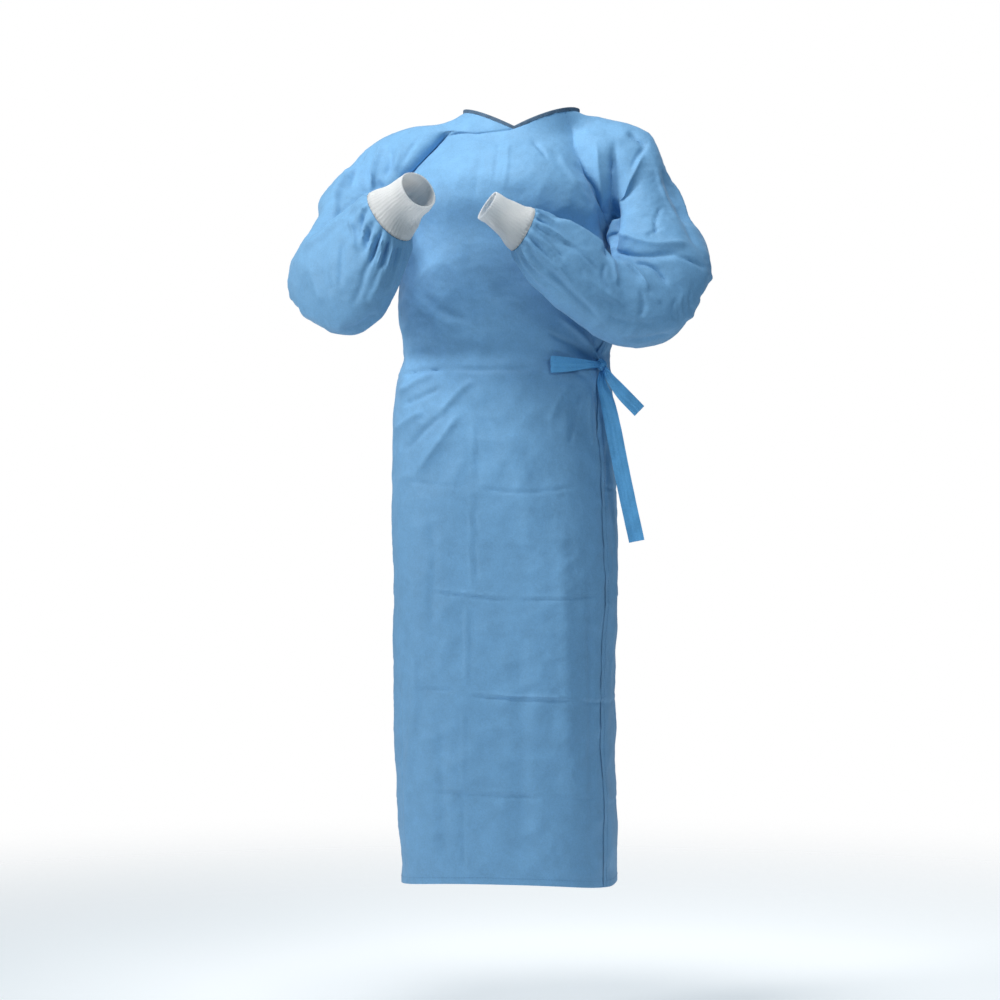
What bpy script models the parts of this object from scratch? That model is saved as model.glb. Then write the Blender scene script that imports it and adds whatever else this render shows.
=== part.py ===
"""Surgical gown, worn and wrapped to the back, with nobody in it.

Sizes are in metres. X runs to the wearer's left, Y to the wearer's back and Z up. The origin lies in the middle
of the neck opening, between the shoulders that hold the gown up.
"""

import math

import bpy
import numpy as np

# Cloth and gaps
WALL = 0.0012
KNIT_WALL = 0.0020
SEAM_GAP = 0.0003
LAYER = 0.0032
RAGLAN_TRIM = 0.0004
CORNER_TRIM = 0.0012
CORNER_ROWS = 2.5

# Neck opening, measured on the edge of the cloth
NECK_MIDDLE = 0.012
NECK_HALF_WIDTH = 0.094
NECK_SEAT = 0.012
NECK_FRONT = 0.078
NECK_BACK = 0.073
NECK_SIDE_UP = 0.020
NECK_FRONT_DROP = 0.036
NECK_BACK_DROP = 0.022
NECK_V_POWER = 1.3
BINDING_HEIGHT = 0.005
BINDING_THICK = 0.0022
BINDING_PROUD = -0.0003
BINDING_GAP = 0.0007
BINDING_ROUND = 0.0006

# Angles round the body, in degrees: 0 at the front, 90 at the wearer's left side, 270 at the right side
FRONT_SEAM_RIGHT = 0.0
FRONT_SEAM_LEFT = 56.0
BACK_SEAM_LEFT = 124.0
BACK_SEAM_RIGHT = 236.0
UNDER_EDGE_AT_NECK = 198.0
UNDER_EDGE_BELOW = 216.0

# Body rings, from the underarm to the hem
UNDERARM = -0.180
HEM = -1.224
HEM_RISE = 0.012
BODY_COLUMNS = ("up", "middle", "half_width", "front", "back", "squareness")
BODY = (
    (-0.180, -0.010, 0.172, 0.128, 0.122, 2.1),
    (-0.250, -0.011, 0.173, 0.131, 0.122, 2.3),
    (-0.310, -0.012, 0.174, 0.131, 0.120, 2.4),
    (-0.350, -0.012, 0.169, 0.128, 0.118, 2.4),
    (-0.381, -0.013, 0.166, 0.122, 0.118, 2.4),
    (-0.405, -0.015, 0.170, 0.128, 0.124, 2.5),
    (-0.430, -0.015, 0.172, 0.134, 0.130, 2.6),
    (-0.480, -0.015, 0.175, 0.139, 0.138, 2.7),
    (-0.575, -0.015, 0.177, 0.142, 0.146, 2.8),
    (-0.770, -0.012, 0.177, 0.142, 0.149, 2.9),
    (-0.915, -0.014, 0.175, 0.141, 0.149, 2.9),
    (-1.061, -0.011, 0.174, 0.140, 0.148, 2.9),
    (-1.224, -0.006, 0.170, 0.138, 0.147, 2.8),
)

# Where the wearer's right side seam and the free edge of the over back run, by height
SEAM_COLUMNS = ("up", "right_seam", "over_edge")
SEAMS = (
    (-0.180, -90.0, 132.0),
    (-0.240, -89.0, 118.0),
    (-0.300, -86.0, 98.0),
    (-0.340, -82.0, 80.0),
    (-0.380, -78.0, 68.0),
    (-0.440, -71.0, 67.0),
    (-0.600, -62.0, 68.0),
    (-0.770, -58.0, 68.0),
    (-1.224, -58.0, 68.0),
)
OVER_EDGE_AT_NECK = 166.0
CHEST_SWELL = 1.1
THROAT_DROP = 0.13
BACK_SWELL = 2.1
OVER_RAMP = 36.0

# Raglan seams and shoulder lines between the neck and the underarm or the upper arm: x, y, z
RAGLAN_FRONT_RIGHT = (
    (-0.045, -0.072, -0.022),
    (-0.092, -0.063, -0.023),
    (-0.124, -0.066, -0.049),
    (-0.152, -0.068, -0.083),
    (-0.172, -0.044, -0.132),
)
RAGLAN_FRONT_LEFT = (
    (0.100, -0.030, -0.012),
    (0.108, -0.052, -0.048),
    (0.130, -0.068, -0.098),
    (0.149, -0.052, -0.142),
)
RAGLAN_BACK_RIGHT = (
    (-0.100, 0.074, -0.030),
    (-0.130, 0.086, -0.075),
    (-0.162, 0.062, -0.132),
)
RAGLAN_BACK_LEFT = (
    (0.112, 0.074, -0.030),
    (0.132, 0.084, -0.075),
    (0.150, 0.060, -0.132),
)
SHOULDER_RIGHT = (
    (-0.125, 0.010, 0.006),
    (-0.180, 0.012, -0.002),
    (-0.216, 0.010, -0.016),
    (-0.247, 0.005, -0.040),
)
SHOULDER_LEFT = (
    (0.131, 0.012, 0.014),
    (0.179, 0.012, 0.001),
    (0.219, 0.008, -0.018),
)

# Sleeve sections from the upper arm to the cuff: the point on the elbow-crease side, the point opposite, and
# the half sizes towards the seam and away from it
SLEEVE_COLUMNS = ("crease_x", "crease_y", "crease_z", "far_x", "far_y", "far_z", "seam_half", "outer_half")
SLEEVE_RIGHT = (
    (-0.199, -0.067, -0.125, -0.291, 0.005, -0.155, 0.066, 0.062),
    (-0.215, -0.135, -0.177, -0.289, -0.056, -0.197, 0.062, 0.054),
    (-0.232, -0.170, -0.204, -0.309, -0.105, -0.230, 0.050, 0.048),
    (-0.252, -0.188, -0.215, -0.309, -0.170, -0.280, 0.042, 0.046),
    (-0.270, -0.219, -0.203, -0.257, -0.238, -0.341, 0.040, 0.050),
    (-0.240, -0.234, -0.175, -0.208, -0.274, -0.353, 0.044, 0.052),
    (-0.209, -0.248, -0.155, -0.161, -0.291, -0.321, 0.050, 0.050),
    (-0.184, -0.260, -0.142, -0.134, -0.300, -0.261, 0.043, 0.044),
    (-0.171, -0.270, -0.135, -0.121, -0.303, -0.214, 0.038, 0.040),
)
SLEEVE_LEFT = (
    (0.196, -0.055, -0.124, 0.226, 0.046, -0.137, 0.060, 0.060),
    (0.173, -0.074, -0.170, 0.274, 0.041, -0.180, 0.056, 0.054),
    (0.171, -0.084, -0.201, 0.313, -0.001, -0.226, 0.052, 0.054),
    (0.175, -0.092, -0.218, 0.313, -0.037, -0.271, 0.050, 0.054),
    (0.175, -0.099, -0.230, 0.293, -0.067, -0.320, 0.048, 0.054),
    (0.166, -0.109, -0.229, 0.261, -0.094, -0.359, 0.046, 0.054),
    (0.154, -0.122, -0.216, 0.192, -0.126, -0.367, 0.044, 0.052),
    (0.128, -0.145, -0.192, 0.142, -0.156, -0.335, 0.042, 0.050),
    (0.094, -0.169, -0.169, 0.089, -0.181, -0.299, 0.038, 0.046),
    (0.073, -0.187, -0.158, 0.049, -0.199, -0.258, 0.034, 0.040),
    (0.062, -0.197, -0.156, 0.030, -0.207, -0.223, 0.030, 0.034),
)
SLEEVE_SQUARENESS = 2.2
SLEEVE_TURNS_BY = 0.18
SLEEVE_CLEAR = 0.006
CLEAR_DOWN_TO = -0.45
CAP_CLEAR = np.array([0.08, 0.0, 0.0])
GATHERS = 16
GATHER_DEPTH = 0.0035
GATHER_REACH = 0.30

# Knitted cuffs
CUFF_RIBS = 44
RIB_HEIGHT = 0.0006
CUFF_COLUMNS = ("along", "size")
CUFF_PROFILE = (
    (0.00, 1.00),
    (0.45, 0.82),
    (1.00, 0.72),
)
CUFF_END_RIGHT = (-0.094, -0.329, -0.140)
CUFF_END_LEFT = (-0.005, -0.226, -0.154)

# The largest folds, laid out on the front view. Places are across and up in metres on the plane through the
# origin, as seen from a point 4.5 m away, level with the hips and turned a little to the wearer's left.
VIEW_TURN = math.radians(9.0)
VIEW_DISTANCE = 4.5
VIEW_ACROSS = -0.021
VIEW_UP = -0.6075
FOLD_COLUMNS = ("start_x", "start_z", "mid_x", "mid_z", "end_x", "end_z", "half_width", "height")
LEFT_SLEEVE_FOLDS = (
    (0.159, -0.053, 0.166, -0.118, 0.159, -0.183, 0.024, -0.008),
    (0.205, -0.050, 0.182, -0.110, 0.168, -0.166, 0.016, 0.006),
    (0.245, -0.080, 0.272, -0.144, 0.300, -0.205, 0.016, -0.007),
    (0.180, -0.186, 0.219, -0.194, 0.262, -0.196, 0.014, 0.006),
    (0.186, -0.205, 0.222, -0.207, 0.255, -0.213, 0.014, -0.010),
    (0.176, -0.219, 0.214, -0.238, 0.251, -0.277, 0.016, 0.006),
)
RIGHT_SLEEVE_FOLDS = (
    (-0.207, -0.030, -0.219, -0.066, -0.232, -0.105, 0.016, 0.006),
    (-0.186, -0.050, -0.196, -0.080, -0.205, -0.120, 0.016, -0.008),
)
FRONT_FOLDS = (
    (-0.185, -0.430, -0.154, -0.411, -0.118, -0.403, 0.018, 0.004),
    (-0.185, -0.400, -0.120, -0.396, -0.060, -0.399, 0.014, -0.004),
    (-0.185, -0.490, -0.144, -0.465, -0.108, -0.439, 0.020, 0.004),
    (-0.118, -0.476, -0.092, -0.446, -0.066, -0.420, 0.018, 0.004),
)
FOLD_TAPER = 0.03
FOLD_END = 0.25
FACING_FROM = 0.05
FACING_FULL = 0.40

# Waist tie, at the wearer's left front where the over back ends. Angles round the body in degrees.
TIE_GAP = 0.0006
KNOT_ANGLE = 66.5
KNOT_UP = -0.393
KNOT_CLEAR = 0.0012
KNOT_HALF_SIZES = (0.008, 0.007, 0.009)
LOOP_COLUMNS = ("angle", "up", "out", "width")
LOOP = (
    (63.1, -0.393, 0.0092, 0.009),
    (58.0, -0.393, 0.0068, 0.011),
    (52.0, -0.393, 0.0060, 0.014),
    (40.0, -0.394, 0.0060, 0.022),
    (30.0, -0.394, 0.0058, 0.026),
    (28.0, -0.394, 0.0085, 0.026),
    (30.5, -0.394, 0.0112, 0.026),
    (40.0, -0.394, 0.0116, 0.022),
    (52.0, -0.393, 0.0118, 0.014),
    (63.1, -0.393, 0.0134, 0.009),
)
END_COLUMNS = ("x", "y", "z", "width", "width_x", "width_z")
SHORT_END = (
    (0.1690, -0.0850, -0.4150, 0.014, 0.76, 0.65),
    (0.1830, -0.0860, -0.4330, 0.020, 0.72, 0.69),
    (0.2140, -0.0760, -0.4670, 0.022, 0.70, 0.71),
)
SHORT_END_LEAVES = (0.60, -0.60, -0.53, 0.008, 0.70, 0.71)
LONG_TAIL = (
    (0.1530, -0.0700, -0.4200, 0.014, 0.98, 0.12),
    (0.1610, -0.0730, -0.4450, 0.021, 0.98, 0.12),
    (0.1715, -0.0760, -0.4900, 0.025, 0.98, 0.14),
    (0.1800, -0.0760, -0.5330, 0.025, 0.98, 0.15),
    (0.1950, -0.0680, -0.6100, 0.025, 0.98, 0.18),
    (0.2080, -0.0600, -0.6730, 0.025, 0.97, 0.20),
)
LONG_TAIL_LEAVES = (0.05, 0.10, -0.99, 0.009, 1.00, 0.10)

# Rows and columns of the panels
UPPER_ROWS = 8
WAIST_ROWS = 10
SKIRT_ROWS = 8
SKIRT_TOP = -0.50
CAP_ROWS = 8
TUBE_ROWS = 18
SLEEVE_AROUND = 28
FRONT_ACROSS = 18
UNDER_ACROSS = 12
OVER_ACROSS = 22
BINDING_STEPS = 64
TIE_STEPS = 12

# Colours, as linear red, green and blue
CLOTH_COLOUR = (0.205, 0.430, 0.650)
TIE_COLOUR = (0.100, 0.290, 0.520)
KNIT_COLOUR = (0.830, 0.850, 0.860)
BINDING_COLOUR = (0.060, 0.120, 0.200)


def smooth(share):
    """Ease from 0 to 1."""
    share = np.clip(share, 0.0, 1.0)
    return share * share * (3.0 - 2.0 * share)


def spline(knots, values, at):
    """Read a smooth curve through the rows of values at the places given."""
    knots = np.asarray(knots, float)
    values = np.asarray(values, float)
    at = np.asarray(at, float)
    slopes = np.gradient(values, knots, axis=0)
    low = np.clip(np.searchsorted(knots, at, side="right") - 1, 0, len(knots) - 2)
    step = knots[low + 1] - knots[low]
    share = np.clip((at - knots[low]) / step, 0.0, 1.0)
    if values.ndim > 1:
        step = step[..., None]
        share = share[..., None]
    start = values[low] * (1 + 2 * share) * (1 - share) ** 2
    end = values[low + 1] * share**2 * (3 - 2 * share)
    leave = slopes[low] * step * share * (1 - share) ** 2
    arrive = slopes[low + 1] * step * share**2 * (share - 1)
    return start + end + leave + arrive


def curve_through(points, at):
    """Read a smooth curve through points, at shares of its length."""
    points = np.asarray(points, float)
    steps = np.linalg.norm(np.diff(points, axis=0), axis=1)
    knots = np.concatenate(([0.0], np.cumsum(steps)))
    return spline(knots / knots[-1], points, at)


def unit(vectors):
    """Scale vectors to length one."""
    length = np.linalg.norm(vectors, axis=-1, keepdims=True)
    return vectors / np.maximum(length, 1e-9)


def round_power(value, squareness):
    """Sine or cosine drawn out to a squarer section."""
    return np.sign(value) * np.abs(value) ** (2.0 / squareness)


def neck_edge(angle):
    """Edge of the cloth round the neck, at angles in degrees."""
    turn = np.radians(np.asarray(angle, float))
    across = np.sin(turn)
    ahead = np.cos(turn)
    reach = np.where(ahead > 0, NECK_FRONT, NECK_BACK)
    dip = (1.0 - np.abs(across)) ** NECK_V_POWER * NECK_FRONT_DROP
    sag = ahead**2 * NECK_BACK_DROP
    up = NECK_SIDE_UP - np.where(ahead > 0, dip, sag)
    return np.stack([NECK_MIDDLE + NECK_HALF_WIDTH * across, NECK_SEAT - reach * ahead, up], axis=-1)


def body_ring(angle, up):
    """Point on the gown's body below the underarm."""
    table = np.asarray(BODY)
    angle, up = np.broadcast_arrays(np.asarray(angle, float), np.asarray(up, float))
    row = spline(-table[:, 0], table, -up)
    turn = np.radians(angle)
    side = round_power(np.sin(turn), row[..., 5])
    ahead = round_power(np.cos(turn), row[..., 5])
    depth = np.where(ahead > 0, row[..., 3], row[..., 4])
    rise = HEM_RISE * smooth(up / HEM * 2 - 1) * np.maximum(np.cos(turn), 0) ** 2
    return np.stack([row[..., 1] + row[..., 2] * side, -depth * ahead, up + rise], axis=-1)


def underarm(hand):
    """The point where body, front seam, back seam and sleeve meet."""
    return body_ring(90.0 * hand, UNDERARM)


def raglan(points, neck_angle, hand, at):
    """A raglan seam from the neck edge to the underarm."""
    route = np.vstack([neck_edge(neck_angle)[None], points, underarm(hand)[None]])
    return curve_through(route, at)


RAGLANS = {
    ("front", -1): (RAGLAN_FRONT_RIGHT, FRONT_SEAM_RIGHT),
    ("front", 1): (RAGLAN_FRONT_LEFT, FRONT_SEAM_LEFT),
    ("back", -1): (RAGLAN_BACK_RIGHT, BACK_SEAM_RIGHT),
    ("back", 1): (RAGLAN_BACK_LEFT, BACK_SEAM_LEFT),
}


def yoke(side, angle, share):
    """Front or back between the raglan seams, from the neck at share 0 to the underarm at share 1.

    The angle runs to 90 degrees on each side, as on the ring at the underarm.
    """
    angle, share = np.broadcast_arrays(np.asarray(angle, float), np.asarray(share, float))
    right_points, right_neck = RAGLANS[side, -1]
    left_points, left_neck = RAGLANS[side, 1]
    right_end, left_end = (-90.0, 90.0) if side == "front" else (270.0, 90.0)
    across = ((angle - right_end) / (left_end - right_end))[..., None]
    right = raglan(right_points, right_neck, -1, share)
    left = raglan(left_points, left_neck, 1, share)
    top = neck_edge(right_neck + (left_neck - right_neck) * across[..., 0])
    bottom = body_ring(angle, UNDERARM)
    top_chord = neck_edge(right_neck) * (1 - across) + neck_edge(left_neck) * across
    bottom_chord = underarm(-1) * (1 - across) + underarm(1) * across
    share = share[..., None]
    rows = right * (1 - across) + left * across
    swell = share ** (CHEST_SWELL if side == "front" else BACK_SWELL)
    rows = rows + (1 - share) ** 2 * (top - top_chord) + swell * (bottom - bottom_chord)
    if side == "front":
        rows[..., 2:] -= THROAT_DROP * share * (1 - share) ** 3 * np.sqrt(4 * across * (1 - across))
    return rows


def body(side, angle, level):
    """Point on the body: level 0 to 1 runs from neck to underarm, then one unit is one metre down."""
    angle, level = np.broadcast_arrays(np.asarray(angle, float), np.asarray(level, float))
    upper = yoke(side, angle, np.clip(level, 0.0, 1.0))
    lower = body_ring(angle, UNDERARM - np.maximum(level - 1.0, 0.0))
    return np.where((level < 1.0)[..., None], upper, lower)


def body_levels(upper_rows, waist_rows, skirt_rows):
    """Levels of the rows of a body panel, closer together down to the hips than in the skirt."""
    upper = np.linspace(0.0, 1.0, upper_rows + 1)
    waist = 1.0 + np.linspace(0.0, UNDERARM - SKIRT_TOP, waist_rows + 1)[1:]
    skirt = 1.0 + np.linspace(UNDERARM - SKIRT_TOP, UNDERARM - HEM, skirt_rows + 1)[1:]
    return np.concatenate([upper, waist, skirt])


def seam_angle(column, level):
    """Angle of the right side seam or of the over back's edge at each level."""
    table = np.asarray(SEAMS)
    up = UNDERARM - np.maximum(level - 1.0, 0.0)
    return spline(-table[:, 0], table[:, SEAM_COLUMNS.index(column)], -up)


def seen(points):
    """Where points appear on the front view: across and up on the plane through the origin."""
    across = points[..., 0] * math.cos(VIEW_TURN) + points[..., 1] * math.sin(VIEW_TURN)
    behind = points[..., 1] * math.cos(VIEW_TURN) - points[..., 0] * math.sin(VIEW_TURN)
    shrink = 1.0 + behind / VIEW_DISTANCE
    across = VIEW_ACROSS + (across - VIEW_ACROSS) / shrink
    up = VIEW_UP + (points[..., 2] - VIEW_UP) / shrink
    return np.stack([across, up], axis=-1)


def folded(grid, folds, flip=1.0):
    """Raise or sink a grid along its folds, on the side that faces the front view."""
    normals = grid_normals(grid) * flip
    towards = np.array([math.sin(VIEW_TURN), -math.cos(VIEW_TURN), 0.0])
    facing = smooth((normals @ towards - FACING_FROM) / (FACING_FULL - FACING_FROM))
    places = seen(grid)
    lift = np.zeros(grid.shape[:2])
    for fold in folds:
        corners = np.asarray(fold[:6]).reshape(3, 2)
        line = curve_through(corners, np.linspace(0.0, 1.0, 25))
        away = np.linalg.norm(places[..., None, :] - line, axis=-1)
        nearest = away.argmin(axis=-1)
        length = np.linalg.norm(np.diff(line, axis=0), axis=1).sum()
        from_end = np.minimum(nearest, len(line) - 1 - nearest) / (len(line) - 1) * length
        profile = np.clip(1.0 - (away.min(axis=-1) / fold[6]) ** 2, 0.0, 1.0) ** 2
        lift += fold[7] * profile * smooth(FOLD_END + from_end / FOLD_TAPER)
    return grid + normals * (lift * facing)[..., None]


def grid_normals(grid):
    """Directions square to a grid of points, rows running down and columns round."""
    down = np.gradient(grid, axis=0)
    along = np.gradient(grid, axis=1)
    return unit(np.cross(down, along))


def pulled(edge, inner, gap):
    """Move an edge of a grid into its panel, square to the edge."""
    along = unit(np.gradient(edge, axis=0))
    inward = inner - edge
    inward = inward - along * np.sum(inward * along, axis=-1, keepdims=True)
    return edge + unit(inward) * gap


def raglan_trim(rows):
    """How far each row is pulled in along a front raglan seam: more in the sharp corner at the neck."""
    return (RAGLAN_TRIM + CORNER_TRIM * np.clip(1.0 - np.arange(rows) / CORNER_ROWS, 0.0, 1.0))[:, None]


def trim(grid, top=0.0, bottom=0.0, first=0.0, last=0.0):
    """Pull a grid's edges in by the given widths."""
    grid = grid.copy()
    grid[0] = pulled(grid[0], grid[1], top)
    grid[-1] = pulled(grid[-1], grid[-2], bottom)
    grid[:, 0] = pulled(grid[:, 0], grid[:, 1], first)
    grid[:, -1] = pulled(grid[:, -1], grid[:, -2], last)
    return grid


def front_grid(levels, across):
    """Front panel from the wearer's right seam to the left one."""
    share = np.linspace(0.0, 1.0, across + 1)[None, :]
    right = seam_angle("right_seam", levels)[:, None]
    angle = right + (90.0 - right) * share
    return body("front", angle, levels[:, None])


def under_grid(levels, across):
    """Under back from the wearer's left seam to its free edge past the middle."""
    share = np.linspace(0.0, 1.0, across + 1)[None, :]
    edge = UNDER_EDGE_AT_NECK + (UNDER_EDGE_BELOW - UNDER_EDGE_AT_NECK) * smooth(levels)[:, None]
    return body("back", 90.0 + (edge - 90.0) * share, levels[:, None])


def over_grid(levels, across):
    """Over back from its free edge at the left front, round the back, to the wearer's right seam."""
    share = np.linspace(0.0, 1.0, across + 1)[None, :]
    below = seam_angle("over_edge", levels)
    above = OVER_EDGE_AT_NECK + (below - OVER_EDGE_AT_NECK) * smooth(levels)
    edge = np.where(levels < 1.0, above, below)[:, None]
    seam = 360.0 + seam_angle("right_seam", levels)[:, None]
    angle = edge + (seam - edge) * share
    grid = body("back", angle, levels[:, None])
    lift = LAYER * smooth((seam - angle) / OVER_RAMP)
    away = grid_normals(grid) * lift[..., None]
    away[0, :, 2] = 0.0
    return grid + away


def sleeve_sections(table, hand, at):
    """Centre, crease-side, seam-side and outer half sizes of the sleeve's sections."""
    rows = np.asarray(table)
    crease, far, halves = rows[:, 0:3], rows[:, 3:6], rows[:, 6:8]
    middle = (crease + far) / 2
    steps = np.linalg.norm(np.diff(rows[:, 0:6], axis=0), axis=1)
    knots = np.concatenate(([0.0], np.cumsum(steps)))
    knots = knots / knots[-1]
    centre = spline(knots, middle, at)
    reach = spline(knots, (crease - far) / 2, at)
    half = spline(knots, halves, at)
    ahead = spline(knots, middle, np.minimum(at + 0.01, 1.0))
    behind = spline(knots, middle, np.maximum(at - 0.01, 0.0))
    side = unit(np.cross(reach, ahead - behind)) * -hand
    seam = side * half[:, 0:1]
    outer = -side * half[:, 1:2]
    first_seam = underarm(hand) - centre[0]
    first_outer = -unit(first_seam) * half[0, 1]
    blend = smooth(at / SLEEVE_TURNS_BY)[:, None]
    seam = first_seam * (1 - blend) + seam * blend
    outer = first_outer * (1 - blend) + outer * blend
    return centre, reach, seam, outer


def sleeve_ring(centre, reach, seam, outer, turn):
    """Points of sleeve sections: turn 0 at the seam, a quarter at the crease side, a half at the outer side."""
    along = round_power(np.cos(turn), SLEEVE_SQUARENESS)[..., None]
    over = round_power(np.sin(turn), SLEEVE_SQUARENESS)[..., None]
    return centre + np.where(along > 0, seam, -outer) * along + reach * over


def sleeve_cap(table, hand, shoulder, share, turn):
    """The sleeve between its raglan seams, from the neck at share 0 to the full ring at share 1."""
    centre, reach, seam, outer = (part[0] for part in sleeve_sections(table, hand, np.zeros(1)))
    front = raglan(*RAGLANS["front", hand], hand, share)
    back = raglan(*RAGLANS["back", hand], hand, share)
    top_route = np.vstack([neck_edge(90.0 * hand)[None], shoulder, (centre + outer)[None]])
    top = curve_through(top_route, share)
    front_half = turn <= math.pi
    start = np.where(front_half[..., None], front, back)
    swing = np.where(front_half, turn, 2 * math.pi - turn)[..., None]
    forward = np.array([0.0, -1.0, 0.0]) * np.linalg.norm(reach) * 0.5
    share = share[..., None]
    aside = np.concatenate([share**6, np.ones_like(share), np.ones_like(share)], axis=-1)
    bulge = (forward * (1 - share) + reach * aside * share) * share + CAP_CLEAR * hand * share**4 * (1 - share)
    bulge = np.where(front_half[..., None], bulge, -bulge)
    middle = (start + top) / 2
    full = round_power(np.cos(swing), SLEEVE_SQUARENESS)
    lens = middle + (start - middle) * full + bulge * round_power(np.sin(swing), SLEEVE_SQUARENESS)
    corner = np.stack([start[..., 0], top[..., 1], start[..., 2]], axis=-1)
    arch = corner + (start - corner) * np.cos(swing / 2) + (top - corner) * np.sin(swing / 2)
    return arch * (1 - smooth(share)) + lens * smooth(share)


def clear_of_body(tube):
    """Push the parts of a sleeve's tube that come too near the body away from it, save the underarm point."""
    table = np.asarray(BODY)
    row = spline(-table[:, 0], table, -np.clip(tube[..., 2], CLEAR_DOWN_TO, UNDERARM))
    depth = np.where(tube[..., 1] < 0, row[..., 3], row[..., 4])
    across = (tube[..., 0] - row[..., 1]) / row[..., 2]
    power = row[..., 5]
    size = (np.abs(across) ** power + np.abs(tube[..., 1] / depth) ** power) ** (1 / power)
    least = 1.0 + SLEEVE_CLEAR / row[..., 2]
    grow = np.maximum(least / size, 1.0)
    grow[0, [0, -1]] = 1.0
    tube[..., 0] = row[..., 1] + (tube[..., 0] - row[..., 1]) * grow
    tube[..., 1] *= grow
    return tube


def sleeve_grid(table, hand, shoulder, cap_rows, tube_rows, around):
    """A raglan sleeve: cap rows that end on the raglan seams, then closed rings down to the cuff."""
    turn = np.linspace(0.0, 2 * math.pi, around + 1)[None, :]
    share = np.linspace(0.0, 1.0, cap_rows + 1)[:-1, None]
    share, cap_turn = np.broadcast_arrays(share, turn)
    cap = sleeve_cap(table, hand, shoulder, share, cap_turn)
    neck_front = RAGLANS["front", hand][1]
    neck_back = RAGLANS["back", hand][1]
    if hand < 0:
        neck_back -= 360.0
    neck = neck_edge(neck_front + (neck_back - neck_front) * turn[0] / (2 * math.pi))
    cap = cap + (1 - smooth(share / 0.5))[..., None] * (neck - cap[0])
    at = np.linspace(0.0, 1.0, tube_rows + 1)
    sections = [part[:, None, :] for part in sleeve_sections(table, hand, at)]
    tube = clear_of_body(sleeve_ring(*sections, np.broadcast_to(turn, (tube_rows + 1, around + 1))))
    return np.concatenate([cap, tube], axis=0), at


def gathered(grid, cap_rows, at):
    """Raise the gathers where the sleeve is drawn in to the cuff."""
    turn = np.linspace(0.0, 2 * math.pi, grid.shape[1])[None, :]
    from_cuff = 1.0 - at
    depth = GATHER_DEPTH * smooth(from_cuff / 0.06 + 0.25) * (1 - smooth(from_cuff / GATHER_REACH))
    lift = np.zeros(grid.shape[:2])
    lift[cap_rows:] = depth[:, None] * np.cos(GATHERS * turn)
    return grid + grid_normals(grid) * lift[..., None]


def material(piece, colour, roughness):
    """One piece's own plain cloth material."""
    made = bpy.data.materials.new(piece + "_material")
    made.use_nodes = True
    shader = made.node_tree.nodes["Principled BSDF"]
    shader.inputs["Base Color"].default_value = (*colour, 1.0)
    shader.inputs["Roughness"].default_value = roughness
    shader.inputs["Metallic"].default_value = 0.0
    return made


def gown_cloth(piece):
    """Light blue nonwoven cloth."""
    return material(piece, CLOTH_COLOUR, 0.75)


def tie_cloth(piece):
    """The deeper blue of the folded ties."""
    return material(piece, TIE_COLOUR, 0.70)


def add_object(collection, name, points, faces, finish):
    """Make a mesh object with smooth faces."""
    mesh = bpy.data.meshes.new(name)
    mesh.from_pydata([tuple(point) for point in points], [], faces)
    mesh.update()
    mesh.shade_smooth()
    mesh.set_sharp_from_angle(angle=math.radians(40.0))
    made = bpy.data.objects.new(name, mesh)
    made.data.materials.append(finish)
    collection.objects.link(made)
    return made


def grid_faces(rows, columns, closed_from=None):
    """Four-sided faces of a grid; rows from closed_from on are rings without a last column."""
    if closed_from is None:
        closed_from = rows
    counts = [columns if row < closed_from else columns - 1 for row in range(rows)]
    starts = np.concatenate(([0], np.cumsum(counts)))
    faces = []
    for row in range(rows - 1):
        for column in range(columns - 1):
            right_above = (column + 1) % counts[row]
            right_below = (column + 1) % counts[row + 1]
            above = starts[row] + column
            below = starts[row + 1] + column
            faces.append((above, below, starts[row + 1] + right_below, starts[row] + right_above))
    return faces


def add_wall(made, thickness):
    """Give a sheet its wall, on the inner side."""
    wall = made.modifiers.new("Wall", "SOLIDIFY")
    wall.thickness = thickness
    wall.offset = -1.0
    return made


def add_panel(collection, name, grid, finish):
    """A panel of cloth from an open grid."""
    made = add_object(collection, name, grid.reshape(-1, 3), grid_faces(*grid.shape[:2]), finish)
    return add_wall(made, WALL)


def add_front(collection, levels):
    """Front panel."""
    grid = folded(front_grid(levels, FRONT_ACROSS), FRONT_FOLDS)
    grid = trim(grid, top=SEAM_GAP, first=raglan_trim(len(grid)), last=raglan_trim(len(grid)))
    return add_panel(collection, "front_panel", grid, gown_cloth("front_panel"))


def add_under_back(collection, levels):
    """Under back."""
    grid = trim(under_grid(levels, UNDER_ACROSS), top=SEAM_GAP, first=RAGLAN_TRIM)
    return add_panel(collection, "back_under", grid, gown_cloth("back_under"))


def add_over_back(collection, levels):
    """Over back."""
    grid = trim(over_grid(levels, OVER_ACROSS), top=SEAM_GAP, last=RAGLAN_TRIM)
    return add_panel(collection, "back_over", grid, gown_cloth("back_over"))


def add_sleeve(collection, name, table, hand, shoulder, folds):
    """One raglan sleeve."""
    grid, at = sleeve_grid(table, hand, shoulder, CAP_ROWS, TUBE_ROWS, SLEEVE_AROUND)
    grid = folded(gathered(grid, CAP_ROWS, at), folds, flip=float(hand))
    grid[0] = pulled(grid[0], grid[1], SEAM_GAP)
    grid[-1] = pulled(grid[-1], grid[-2], SEAM_GAP)
    cap = grid[:CAP_ROWS]
    cap[:, 0] = pulled(cap[:, 0], cap[:, 1], raglan_trim(CAP_ROWS))
    cap[:, -1] = pulled(cap[:, -1], cap[:, -2], RAGLAN_TRIM)
    rows, columns = grid.shape[:2]
    points = np.concatenate([cap.reshape(-1, 3), grid[CAP_ROWS:, :-1].reshape(-1, 3)])
    faces = grid_faces(rows, columns, closed_from=CAP_ROWS)
    if hand < 0:
        faces = [face[::-1] for face in faces]
    return add_wall(add_object(collection, name, points, faces, gown_cloth(name)), WALL)


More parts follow.
